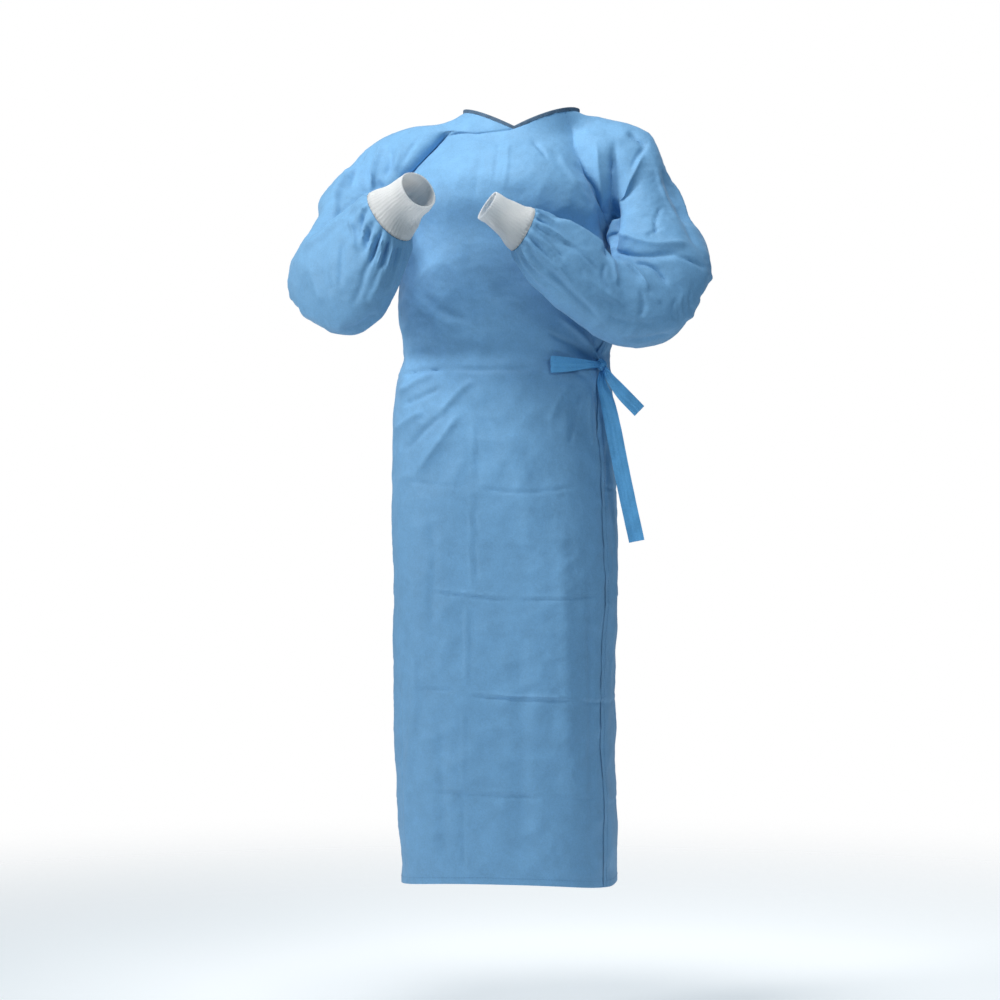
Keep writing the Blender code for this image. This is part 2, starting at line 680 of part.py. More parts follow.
def cuff_rings(table, hand, end, around):
    """Middle and half sizes of a cuff's rings, from the sleeve to the wrist."""
    centre, reach, seam, outer = (part[-1] for part in sleeve_sections(table, hand, np.ones(1)))
    along, size = np.asarray(CUFF_PROFILE).T
    end = np.asarray(end)
    axis = unit(end - centre)
    middles = centre + (end - centre) * along[:, None]
    turn = np.linspace(0.0, 2 * math.pi, around + 1)[:-1]
    mean = (np.linalg.norm(reach) + np.linalg.norm(seam) + np.linalg.norm(outer)) / 3
    square_reach = unit(reach - axis * np.dot(reach, axis)) * mean
    square_side = unit(np.cross(square_reach, axis)) * -hand * mean
    blend = smooth(along / 0.5)[:, None]
    reaches = (reach * (1 - blend) + square_reach * blend) * size[:, None]
    seams = (seam * (1 - blend) + square_side * blend) * size[:, None]
    outers = (outer * (1 - blend) - square_side * blend) * size[:, None]
    parts = [part[:, None, :] for part in (middles, reaches, seams, outers)]
    rings = sleeve_ring(*parts, np.broadcast_to(turn, (len(along), around)))
    rings[0] += axis * SEAM_GAP
    return rings, middles


def add_cuff(collection, name, table, hand, end):
    """One knitted cuff: ribs raised on the outside of a plain tube."""
    around = CUFF_RIBS * 2
    rings, middles = cuff_rings(table, hand, end, around)
    outward = unit(rings - middles[:, None, :])
    rib = np.where(np.arange(around) % 2 == 0, RIB_HEIGHT, 0.0)[None, :, None]
    outer = rings + outward * rib
    inner = rings - outward * KNIT_WALL
    rows = rings.shape[0]
    points = np.concatenate([outer.reshape(-1, 3), inner.reshape(-1, 3)])
    faces = []
    inner_start = rows * around
    for column in range(around):
        after = (column + 1) % around
        for row in range(rows - 1):
            here, below = row * around, (row + 1) * around
            faces.append((here + column, below + column, below + after, here + after))
            here, below = inner_start + here, inner_start + below
            faces.append((here + after, below + after, below + column, here + column))
        last = (rows - 1) * around
        faces.append((column, after, inner_start + after, inner_start + column))
        faces.append((last + after, last + column, inner_start + last + column, inner_start + last + after))
    if hand < 0:
        faces = [face[::-1] for face in faces]
    return add_object(collection, name, points, faces, material(name, KNIT_COLOUR, 0.9))


def binding_rings(steps):
    """Corners of the neck binding's section, from its under end round the neck to its over end."""
    back_turn = (BACK_SEAM_LEFT - BACK_SEAM_RIGHT) / 180.0
    under_end = BACK_SEAM_RIGHT - (270.0 - UNDER_EDGE_AT_NECK) * -back_turn
    over_end = BACK_SEAM_RIGHT - (270.0 - OVER_EDGE_AT_NECK) * -back_turn - 360.0
    angle = np.linspace(under_end, over_end, steps + 1)
    edge = neck_edge(angle)
    ahead = neck_edge(angle - 1.0) - neck_edge(angle + 1.0)
    out = unit(np.stack([-ahead[:, 1], ahead[:, 0], np.zeros(len(angle))], axis=-1))
    centre = np.array([NECK_MIDDLE, NECK_SEAT, 0.0])
    out *= np.sign(np.sum(out * (edge - centre), axis=1))[:, None]
    over_start = BACK_SEAM_RIGHT - 360.0
    lift = LAYER * smooth((over_start - angle) / (OVER_RAMP * -back_turn))
    up = np.array([0.0, 0.0, 1.0])
    outside = BINDING_PROUD + lift[:, None]
    inside = outside - BINDING_THICK
    low, high = BINDING_GAP, BINDING_GAP + BINDING_HEIGHT
    corners = [
        edge + out * outside + up * low,
        edge + out * outside + up * (high - BINDING_ROUND),
        edge + out * (outside - BINDING_ROUND) + up * high,
        edge + out * (inside + BINDING_ROUND) + up * high,
        edge + out * inside + up * (high - BINDING_ROUND),
        edge + out * inside + up * low,
    ]
    return np.stack(corners, axis=1)


def add_swept(collection, name, rings, finish):
    """A closed bar from rings of section corners, with flat ends."""
    steps, corners = rings.shape[:2]
    faces = []
    for step in range(steps - 1):
        for corner in range(corners):
            after = (corner + 1) % corners
            here, following = step * corners, (step + 1) * corners
            faces.append((here + corner, here + after, following + after, following + corner))
    faces.append(tuple(range(corners - 1, -1, -1)))
    faces.append(tuple(range((steps - 1) * corners, steps * corners)))
    return add_object(collection, name, rings.reshape(-1, 3), faces, finish)


def outside_body(angle, up, out):
    """A point clear of the body, at a distance square to its ring."""
    point = body_ring(angle, up)
    along = body_ring(angle + 0.5, up) - body_ring(angle - 0.5, up)
    square = unit(np.stack([along[..., 1], -along[..., 0], np.zeros_like(along[..., 0])], axis=-1))
    return point + square * np.asarray(out)[..., None]


def add_ribbon(collection, name, middle, across, width):
    """A flat tie from its middle line, its direction across and its width."""
    sides = np.array([-0.5, 0.0, 0.5])[None, :, None]
    grid = middle[:, None, :] + across[:, None, :] * width[:, None, None] * sides
    made = add_object(collection, name, grid.reshape(-1, 3), grid_faces(len(middle), 3), tie_cloth(name))
    return add_wall(made, WALL)


def add_loop(collection):
    """The loop of the tie, laid forward along the waist."""
    table = np.asarray(LOOP)
    knots = np.linspace(0.0, 1.0, len(table))
    rows = spline(knots, table, np.linspace(0.0, 1.0, 2 * TIE_STEPS + 1))
    middle = outside_body(rows[:, 0], rows[:, 1], rows[:, 2])
    across = np.tile([0.0, 0.0, 1.0], (len(rows), 1))
    return add_ribbon(collection, "tie_loop", middle, across, rows[:, 3])


def knot_place():
    """Centre of the knot."""
    return outside_body(np.array(KNOT_ANGLE), np.array(KNOT_UP), LAYER + KNOT_HALF_SIZES[1] + KNOT_CLEAR)


def beside_knot(direction):
    """A point just clear of the knot in a direction."""
    direction = unit(np.asarray(direction))
    turn = math.radians(KNOT_ANGLE)
    ahead = np.array([math.cos(turn), math.sin(turn), 0.0])
    aside = np.array([-math.sin(turn), math.cos(turn), 0.0])
    own = np.array([direction @ ahead, direction @ aside, direction[2]])
    return knot_place() + direction * (1.0 / np.linalg.norm(own / KNOT_HALF_SIZES) + TIE_GAP)


def add_tie_end(collection, name, table, leaves):
    """A free end of the tie, from the knot down."""
    first = np.concatenate([beside_knot(leaves[:3]), leaves[3:]])
    table = np.vstack([first, table])
    steps = np.linalg.norm(np.diff(table[:, 0:3], axis=0), axis=1)
    knots = np.concatenate(([0.0], np.cumsum(steps)))
    rows = spline(knots, table, np.linspace(0.0, knots[-1], TIE_STEPS + 1))
    across = unit(np.stack([rows[:, 4], np.zeros(len(rows)), rows[:, 5]], axis=-1))
    return add_ribbon(collection, name, rows[:, 0:3], across, rows[:, 3])


def add_knot(collection):
    """The knot of the tie, against the edge of the over back."""
    bpy.ops.mesh.primitive_uv_sphere_add(segments=12, ring_count=8, radius=1.0, location=knot_place())
    knot = bpy.context.object
    knot.name = "tie_knot"
    knot.scale = KNOT_HALF_SIZES
    knot.rotation_euler = (0.0, 0.0, math.radians(KNOT_ANGLE))
    knot.data.shade_smooth()
    knot.data.materials.append(tie_cloth("tie_knot"))
    for holder in list(knot.users_collection):
        holder.objects.unlink(knot)
    collection.objects.link(knot)
    return knot


def start_collections():
    """Clear the scene and make the collection for the gown."""
    for made in list(bpy.data.objects):
        bpy.data.objects.remove(made, do_unlink=True)
    collection = bpy.data.collections.new("surgical_gown")
    bpy.context.scene.collection.children.link(collection)
    return collection


def main():
    """Build the gown."""
    collection = start_collections()
    levels = body_levels(UPPER_ROWS, WAIST_ROWS, SKIRT_ROWS)
    add_front(collection, levels)
    add_under_back(collection, levels)
    add_over_back(collection, levels)
    add_sleeve(collection, "sleeve_right", SLEEVE_RIGHT, -1, SHOULDER_RIGHT, RIGHT_SLEEVE_FOLDS)
    add_sleeve(collection, "sleeve_left", SLEEVE_LEFT, 1, SHOULDER_LEFT, LEFT_SLEEVE_FOLDS)
    add_cuff(collection, "cuff_right", SLEEVE_RIGHT, -1, CUFF_END_RIGHT)
    add_cuff(collection, "cuff_left", SLEEVE_LEFT, 1, CUFF_END_LEFT)
    add_swept(collection, "neck_binding", binding_rings(BINDING_STEPS), material("neck_binding", BINDING_COLOUR, 0.7))
    add_knot(collection)
    add_loop(collection)
    add_tie_end(collection, "tie_short_end", SHORT_END, SHORT_END_LEAVES)
    add_tie_end(collection, "tie_long_tail", LONG_TAIL, LONG_TAIL_LEAVES)


main()
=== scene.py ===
"""Looks of the surgical gown: cloth, knit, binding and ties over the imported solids, on a plain pale stage.

Sizes are in metres. X runs to the wearer's left, Y to the wearer's back and Z up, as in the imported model.
"""

import math

import bpy
import numpy as np
from bpy.props import FloatProperty, FloatVectorProperty, IntProperty, PointerProperty
from bpy.types import Operator, Panel, PropertyGroup
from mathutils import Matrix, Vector


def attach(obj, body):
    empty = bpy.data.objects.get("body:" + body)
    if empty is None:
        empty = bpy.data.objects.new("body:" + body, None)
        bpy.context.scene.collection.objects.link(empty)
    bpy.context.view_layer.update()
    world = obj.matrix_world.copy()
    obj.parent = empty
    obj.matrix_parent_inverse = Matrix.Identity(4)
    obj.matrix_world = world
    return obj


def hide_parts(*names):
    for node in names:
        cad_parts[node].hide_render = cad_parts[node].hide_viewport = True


bl_info = {
    "name": "Surgical Gown",
    "version": (1, 0, 0),
    "blender": (4, 5, 0),
    "location": "3D View > Sidebar > Gown",
    "description": "Builds the cloth, cuffs, binding and ties of a worn surgical gown, and its stage",
    "category": "Object",
}

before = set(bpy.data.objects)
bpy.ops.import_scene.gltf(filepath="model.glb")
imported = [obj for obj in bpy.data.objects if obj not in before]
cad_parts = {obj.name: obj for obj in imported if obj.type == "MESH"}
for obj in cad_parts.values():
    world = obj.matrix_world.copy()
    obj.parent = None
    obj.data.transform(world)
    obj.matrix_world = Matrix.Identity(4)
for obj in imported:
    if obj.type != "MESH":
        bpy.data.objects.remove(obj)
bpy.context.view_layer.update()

# Cloth and gaps
KNIT_WALL = 0.0020
SEAM_GAP = 0.0003
LAYER = 0.0032

# Neck opening, measured on the edge of the cloth
NECK_MIDDLE = 0.012
NECK_HALF_WIDTH = 0.094
NECK_SEAT = 0.012
NECK_FRONT = 0.078
NECK_BACK = 0.073
NECK_SIDE_UP = 0.020
NECK_FRONT_DROP = 0.036
NECK_BACK_DROP = 0.022
NECK_V_POWER = 1.3
BINDING_HEIGHT = 0.005
BINDING_THICK = 0.0022
BINDING_PROUD = -0.0003
BINDING_GAP = 0.0007
BINDING_ROUND = 0.0006

# Angles round the body, in degrees: 0 at the front, 90 at the wearer's left side, 270 at the right side
FRONT_SEAM_RIGHT = 0.0
FRONT_SEAM_LEFT = 56.0
BACK_SEAM_LEFT = 124.0
BACK_SEAM_RIGHT = 236.0
UNDER_EDGE_AT_NECK = 198.0
UNDER_EDGE_BELOW = 216.0

# Body rings, from the underarm to the hem
UNDERARM = -0.180
HEM = -1.224
HEM_RISE = 0.012
BODY = (
    (-0.180, -0.010, 0.172, 0.128, 0.122, 2.1),
    (-0.250, -0.011, 0.173, 0.131, 0.122, 2.3),
    (-0.310, -0.012, 0.174, 0.131, 0.120, 2.4),
    (-0.350, -0.012, 0.169, 0.128, 0.118, 2.4),
    (-0.381, -0.013, 0.166, 0.122, 0.118, 2.4),
    (-0.405, -0.015, 0.170, 0.128, 0.124, 2.5),
    (-0.430, -0.015, 0.172, 0.134, 0.130, 2.6),
    (-0.480, -0.015, 0.175, 0.139, 0.138, 2.7),
    (-0.575, -0.015, 0.177, 0.142, 0.146, 2.8),
    (-0.770, -0.012, 0.177, 0.142, 0.149, 2.9),
    (-0.915, -0.014, 0.175, 0.141, 0.149, 2.9),
    (-1.061, -0.011, 0.174, 0.140, 0.148, 2.9),
    (-1.224, -0.006, 0.170, 0.138, 0.147, 2.8),
)

# Where the wearer's right side seam and the free edge of the over back run, by height
SEAM_COLUMNS = ("up", "right_seam", "over_edge")
SEAMS = (
    (-0.180, -90.0, 132.0),
    (-0.240, -89.0, 118.0),
    (-0.300, -86.0, 98.0),
    (-0.340, -82.0, 80.0),
    (-0.380, -78.0, 68.0),
    (-0.440, -71.0, 67.0),
    (-0.600, -62.0, 68.0),
    (-0.770, -58.0, 68.0),
    (-1.224, -58.0, 68.0),
)
OVER_EDGE_AT_NECK = 166.0
CHEST_SWELL = 1.1
THROAT_DROP = 0.13
BACK_SWELL = 2.1
OVER_RAMP = 36.0

# Raglan seams and shoulder lines between the neck and the underarm or the upper arm: x, y, z
RAGLAN_FRONT_RIGHT = (
    (-0.045, -0.072, -0.022),
    (-0.092, -0.063, -0.023),
    (-0.124, -0.066, -0.049),
    (-0.152, -0.068, -0.083),
    (-0.172, -0.044, -0.132),
)
RAGLAN_FRONT_LEFT = (
    (0.100, -0.030, -0.012),
    (0.108, -0.052, -0.048),
    (0.130, -0.068, -0.098),
    (0.149, -0.052, -0.142),
)
RAGLAN_BACK_RIGHT = (
    (-0.100, 0.074, -0.030),
    (-0.130, 0.086, -0.075),
    (-0.162, 0.062, -0.132),
)
RAGLAN_BACK_LEFT = (
    (0.112, 0.074, -0.030),
    (0.132, 0.084, -0.075),
    (0.150, 0.060, -0.132),
)
SHOULDER_RIGHT = (
    (-0.125, 0.010, 0.006),
    (-0.180, 0.012, -0.002),
    (-0.216, 0.010, -0.016),
    (-0.247, 0.005, -0.040),
)
SHOULDER_LEFT = (
    (0.131, 0.012, 0.014),
    (0.179, 0.012, 0.001),
    (0.219, 0.008, -0.018),
)

# Sleeve sections from the upper arm to the cuff: the point on the elbow-crease side, the point opposite, and
# the half sizes towards the seam and away from it
SLEEVE_RIGHT = (
    (-0.199, -0.067, -0.125, -0.291, 0.005, -0.155, 0.066, 0.062),
    (-0.215, -0.135, -0.177, -0.289, -0.056, -0.197, 0.062, 0.054),
    (-0.232, -0.170, -0.204, -0.309, -0.105, -0.230, 0.050, 0.048),
    (-0.252, -0.188, -0.215, -0.309, -0.170, -0.280, 0.042, 0.046),
    (-0.270, -0.219, -0.203, -0.257, -0.238, -0.341, 0.040, 0.050),
    (-0.240, -0.234, -0.175, -0.208, -0.274, -0.353, 0.044, 0.052),
    (-0.209, -0.248, -0.155, -0.161, -0.291, -0.321, 0.050, 0.050),
    (-0.184, -0.260, -0.142, -0.134, -0.300, -0.261, 0.043, 0.044),
    (-0.171, -0.270, -0.135, -0.121, -0.303, -0.214, 0.038, 0.040),
)
SLEEVE_LEFT = (
    (0.196, -0.055, -0.124, 0.226, 0.046, -0.137, 0.060, 0.060),
    (0.173, -0.074, -0.170, 0.274, 0.041, -0.180, 0.056, 0.054),
    (0.171, -0.084, -0.201, 0.313, -0.001, -0.226, 0.052, 0.054),
    (0.175, -0.092, -0.218, 0.313, -0.037, -0.271, 0.050, 0.054),
    (0.175, -0.099, -0.230, 0.293, -0.067, -0.320, 0.048, 0.054),
    (0.166, -0.109, -0.229, 0.261, -0.094, -0.359, 0.046, 0.054),
    (0.154, -0.122, -0.216, 0.192, -0.126, -0.367, 0.044, 0.052),
    (0.128, -0.145, -0.192, 0.142, -0.156, -0.335, 0.042, 0.050),
    (0.094, -0.169, -0.169, 0.089, -0.181, -0.299, 0.038, 0.046),
    (0.073, -0.187, -0.158, 0.049, -0.199, -0.258, 0.034, 0.040),
    (0.062, -0.197, -0.156, 0.030, -0.207, -0.223, 0.030, 0.034),
)
SLEEVE_SQUARENESS = 2.2
SLEEVE_TURNS_BY = 0.18
SLEEVE_CLEAR = 0.006
CLEAR_DOWN_TO = -0.45
CAP_CLEAR = np.array([0.08, 0.0, 0.0])
GATHERS = 16
GATHER_DEPTH = 0.0035

# Knitted cuffs
CUFF_RIBS = 44
RIB_HEIGHT = 0.0006
CUFF_PROFILE = (
    (0.00, 1.00),
    (0.45, 0.82),
    (1.00, 0.72),
)
CUFF_END_RIGHT = (-0.094, -0.329, -0.140)
CUFF_END_LEFT = (-0.005, -0.226, -0.154)

# The largest folds, laid out on the front view. Places are across and up in metres on the plane through the
# origin, as seen from a point 4.5 m away, level with the hips and turned a little to the wearer's left.
VIEW_TURN = math.radians(9.0)
VIEW_DISTANCE = 4.5
VIEW_ACROSS = -0.021
VIEW_UP = -0.6075

# Waist tie, at the wearer's left front where the over back ends. Angles round the body in degrees.
TIE_GAP = 0.0006
KNOT_ANGLE = 66.5
KNOT_UP = -0.393
KNOT_CLEAR = 0.0012
KNOT_HALF_SIZES = (0.008, 0.007, 0.009)
LOOP = (
    (63.1, -0.393, 0.0092, 0.009),
    (58.0, -0.393, 0.0068, 0.011),
    (52.0, -0.393, 0.0060, 0.014),
    (40.0, -0.394, 0.0060, 0.022),
    (30.0, -0.394, 0.0058, 0.026),
    (28.0, -0.394, 0.0085, 0.026),
    (30.5, -0.394, 0.0112, 0.026),
    (40.0, -0.394, 0.0116, 0.022),
    (52.0, -0.393, 0.0118, 0.014),
    (63.1, -0.393, 0.0134, 0.009),
)
SHORT_END = (
    (0.1690, -0.0850, -0.4150, 0.014, 0.76, 0.65),
    (0.1830, -0.0860, -0.4330, 0.020, 0.72, 0.69),
    (0.2140, -0.0760, -0.4670, 0.022, 0.70, 0.71),
)
SHORT_END_LEAVES = (0.60, -0.60, -0.53, 0.008, 0.70, 0.71)
LONG_TAIL = (
    (0.1530, -0.0700, -0.4200, 0.014, 0.98, 0.12),
    (0.1610, -0.0730, -0.4450, 0.021, 0.98, 0.12),
    (0.1715, -0.0760, -0.4900, 0.025, 0.98, 0.14),
    (0.1800, -0.0760, -0.5330, 0.025, 0.98, 0.15),
    (0.1950, -0.0680, -0.6100, 0.025, 0.98, 0.18),
    (0.2080, -0.0600, -0.6730, 0.025, 0.97, 0.20),
)
LONG_TAIL_LEAVES = (0.05, 0.10, -0.99, 0.009, 1.00, 0.10)

PICTURE_WIDTH = 1.62
AMBIENT = 0.225

# Folds on the front view, measured on the plane through the origin. Columns: start across, start up, middle
# across, middle up, end across, end up, half width, height, and kind: 0 for a round fold, 1 for a step and
# 2 for a sharp crease
FRONT_FOLDS = (
    (0.021, -0.01, 0.039, -0.032, 0.057, -0.055, 0.005, -0.003, 0),
    (-0.099, -0.002, -0.138, -0.044, -0.183, -0.096, 0.011, -0.012, 2),
    (0.096, -0.057, 0.125, -0.091, 0.157, -0.198, 0.009, -0.0067, 2),
    (-0.021, -0.016, -0.026, -0.057, -0.031, -0.105, 0.006, -0.0016, 0),
    (-0.008, -0.024, -0.01, -0.065, -0.016, -0.105, 0.006, 0.0016, 0),
    (-0.053, -0.041, -0.057, -0.081, -0.063, -0.122, 0.008, -0.0014, 0),
    (0.07, -0.041, 0.1, -0.086, 0.125, -0.13, 0.008, 0.0027, 0),
    (-0.07, -0.016, -0.034, -0.01, -0.002, -0.008, 0.004, -0.0022, 0),
    (-0.134, -0.203, -0.125, -0.284, -0.118, -0.356, 0.018, 0.003, 0),
    (-0.07, -0.186, -0.073, -0.267, -0.07, -0.348, 0.016, -0.003, 0),
    (-0.151, -0.267, -0.118, -0.3, -0.07, -0.319, 0.012, -0.0022, 0),
    (0.112, -0.277, 0.128, -0.332, 0.143, -0.384, 0.007, -0.0067, 2),
    (0.144, -0.39, 0.117, -0.348, 0.07, -0.306, 0.008, 0.0054, 2),
    (0.135, -0.4, 0.092, -0.373, 0.044, -0.356, 0.008, 0.003, 0),
    (0.141, -0.39, 0.102, -0.361, 0.054, -0.335, 0.006, -0.0047, 2),
    (0.128, -0.416, 0.086, -0.39, 0.028, -0.381, 0.006, -0.0024, 0),
    (-0.181, -0.405, -0.151, -0.4, -0.108, -0.395, 0.007, -0.0054, 2),
    (-0.108, -0.395, -0.037, -0.397, 0.052, -0.394, 0.006, -0.0022, 0),
    (-0.186, -0.436, -0.157, -0.418, -0.125, -0.4, 0.008, 0.0059, 2),
    (-0.193, -0.497, -0.168, -0.478, -0.144, -0.462, 0.008, 0.0054, 2),
    (-0.121, -0.47, -0.094, -0.439, -0.063, -0.411, 0.008, 0.0054, 2),
    (-0.159, -0.569, -0.121, -0.515, -0.083, -0.463, 0.01, 0.0059, 2),
    (-0.18, -0.455, -0.144, -0.439, -0.115, -0.423, 0.006, -0.0041, 2),
    (-0.177, -0.53, -0.144, -0.494, -0.112, -0.468, 0.007, -0.0041, 2),
    (-0.17, -0.51, -0.181, -0.608, -0.186, -0.705, 0.012, 0.0027, 0),
    (0.133, -0.42, 0.139, -0.462, 0.144, -0.52, 0.006, -0.006, 2),
    (0.125, -0.42, 0.125, -0.462, 0.131, -0.52, 0.006, 0.0043, 2),
    (0.1, -0.421, 0.076, -0.446, 0.057, -0.484, 0.009, 0.0027, 0),
    (0.118, -0.416, 0.102, -0.462, 0.092, -0.52, 0.006, -0.0041, 2),
    (0.154, -0.507, 0.154, -0.565, 0.152, -0.633, 0.0034, -0.0054, 2),
    (-0.053, -0.332, -0.053, -0.365, -0.052, -0.397, 0.003, 0.0016, 0),
    (-0.04, -0.332, -0.04, -0.365, -0.04, -0.397, 0.003, -0.0016, 0),
    (-0.05, -0.4, -0.053, -0.437, -0.055, -0.463, 0.003, 0.0014, 0),
    (-0.055, -0.463, -0.057, -0.527, -0.058, -0.585, 0.0034, -0.0022, 0),
    (-0.063, -0.463, -0.065, -0.527, -0.066, -0.585, 0.004, 0.0016, 0),
    (-0.063, -0.588, -0.065, -0.672, -0.063, -0.761, 0.004, -0.0024, 1),
    (-0.074, -0.765, -0.076, -0.825, -0.078, -0.912, 0.004, 0.0022, 0),
    (-0.079, -0.931, -0.081, -1.012, -0.081, -1.077, 0.004, 0.0014, 0),
    (-0.081, -1.081, -0.081, -1.142, -0.081, -1.21, 0.004, -0.0014, 0),
    (-0.049, -0.471, -0.044, -0.494, -0.037, -0.514, 0.005, -0.0019, 0),
    (-0.068, -0.586, 0.015, -0.596, 0.122, -0.582, 0.0036, -0.002, 0),
    (-0.183, -0.575, -0.134, -0.582, -0.07, -0.586, 0.004, -0.0012, 0),
    (-0.139, -0.752, -0.07, -0.761, 0, -0.768, 0.004, 0.0022, 1),
    (0, -0.768, 0.076, -0.766, 0.151, -0.76, 0.004, 0.0014, 1),
    (-0.157, -0.915, -0.123, -0.915, -0.089, -0.917, 0.004, -0.0024, 0),
    (-0.076, -0.923, 0.016, -0.928, 0.109, -0.931, 0.0044, 0.0026, 1),
    (0.109, -0.931, 0.131, -0.933, 0.157, -0.931, 0.0044, 0.0018, 1),
    (-0.138, -1.079, -0.047, -1.082, 0.042, -1.084, 0.004, 0.0019, 1),
    (-0.047, -1.09, 0.003, -1.09, 0.054, -1.09, 0.004, -0.0016, 0),
    (0.054, -1.087, 0.1, -1.089, 0.151, -1.089, 0.004, 0.0011, 1),
    (-0.165, -0.825, -0.16, -0.912, -0.173, -1.064, 0.011, 0.0035, 0),
    (-0.173, -1.064, -0.173, -1.142, -0.172, -1.212, 0.01, 0.003, 0),
    (-0.118, -0.931, -0.115, -1.061, -0.112, -1.212, 0.016, -0.0024, 0),
    (0.011, -0.802, 0.015, -0.996, 0.016, -1.212, 0.024, -0.0027, 0),
    (0.076, -0.608, 0.086, -0.834, 0.092, -1.077, 0.022, 0.0032, 0),
    (0.122, -0.705, 0.128, -0.931, 0.126, -1.212, 0.01, -0.0032, 0),
    (-0.021, -0.478, 0.011, -0.559, 0.028, -0.705, 0.024, 0.0022, 0),
    (-0.134, -0.608, -0.128, -0.705, -0.134, -0.834, 0.014, -0.0022, 0),
)
LEFT_SLEEVE_FOLDS = (
    (0.086, 0.005, 0.092, -0.013, 0.097, -0.032, 0.004, -0.002, 0),
    (0.096, -0.057, 0.125, -0.091, 0.157, -0.198, 0.009, -0.005, 2),
    (0.165, -0.021, 0.164, -0.115, 0.154, -0.222, 0.013, -0.011, 2),
    (0.186, -0.011, 0.201, -0.021, 0.216, -0.034, 0.007, -0.005, 2),
    (0.135, -0.024, 0.139, -0.081, 0.151, -0.146, 0.011, 0.004, 2),
    (0.212, -0.045, 0.185, -0.099, 0.173, -0.147, 0.01, 0.006, 2),
    (0.222, -0.024, 0.199, -0.057, 0.19, -0.089, 0.006, -0.0024, 0),
    (0.235, -0.057, 0.274, -0.144, 0.309, -0.215, 0.011, -0.0042, 2),
    (0.23, -0.066, 0.248, -0.122, 0.271, -0.16, 0.005, 0.0022, 0),
    (0.241, -0.131, 0.232, -0.151, 0.232, -0.183, 0.004, -0.002, 0),
    (0.216, -0.18, 0.228, -0.173, 0.241, -0.164, 0.004, -0.0018, 0),
    (0.157, -0.17, 0.206, -0.188, 0.29, -0.193, 0.01, 0.0046, 2),
    (0.147, -0.203, 0.206, -0.209, 0.277, -0.207, 0.008, -0.005, 2),
    (0.261, -0.209, 0.287, -0.219, 0.313, -0.232, 0.004, -0.0024, 0),
    (0.186, -0.215, 0.232, -0.232, 0.254, -0.261, 0.006, -0.0045, 2),
    (0.173, -0.219, 0.199, -0.235, 0.222, -0.271, 0.007, 0.0045, 2),
    (0.222, -0.271, 0.23, -0.279, 0.241, -0.287, 0.005, 0.002, 0),
    (0.16, -0.212, 0.164, -0.232, 0.17, -0.258, 0.005, 0.0024, 0),
    (0.151, -0.222, 0.147, -0.245, 0.157, -0.271, 0.005, -0.002, 0),
    (0.206, -0.267, 0.212, -0.29, 0.206, -0.313, 0.006, -0.0016, 0),
    (0.277, -0.271, 0.271, -0.29, 0.277, -0.313, 0.004, 0.0014, 0),
    (0.264, -0.28, 0.259, -0.3, 0.264, -0.319, 0.004, -0.0014, 0),
    (0.29, -0.264, 0.287, -0.284, 0.29, -0.303, 0.004, -0.0012, 0),
    (0.173, -0.348, 0.222, -0.347, 0.264, -0.339, 0.007, -0.0025, 0),
    (0.16, -0.206, 0.128, -0.185, 0.07, -0.149, 0.008, 0.0045, 2),
    (0.032, -0.138, 0.052, -0.144, 0.076, -0.157, 0.0034, -0.0022, 0),
    (0.032, -0.173, 0.057, -0.19, 0.086, -0.219, 0.004, -0.0024, 0),
    (0.041, -0.157, 0.063, -0.17, 0.096, -0.193, 0.0036, 0.0016, 0),
    (0.044, -0.193, 0.065, -0.215, 0.092, -0.251, 0.004, 0.0018, 0),
    (0.076, -0.186, 0.109, -0.206, 0.141, -0.238, 0.005, -0.0016, 0),
    (0.057, -0.232, 0.096, -0.271, 0.141, -0.313, 0.007, -0.002, 0),
    (0.109, -0.235, 0.141, -0.267, 0.183, -0.293, 0.008, 0.0018, 0),
    (0.147, -0.306, 0.186, -0.319, 0.238, -0.322, 0.008, -0.0016, 0),
)
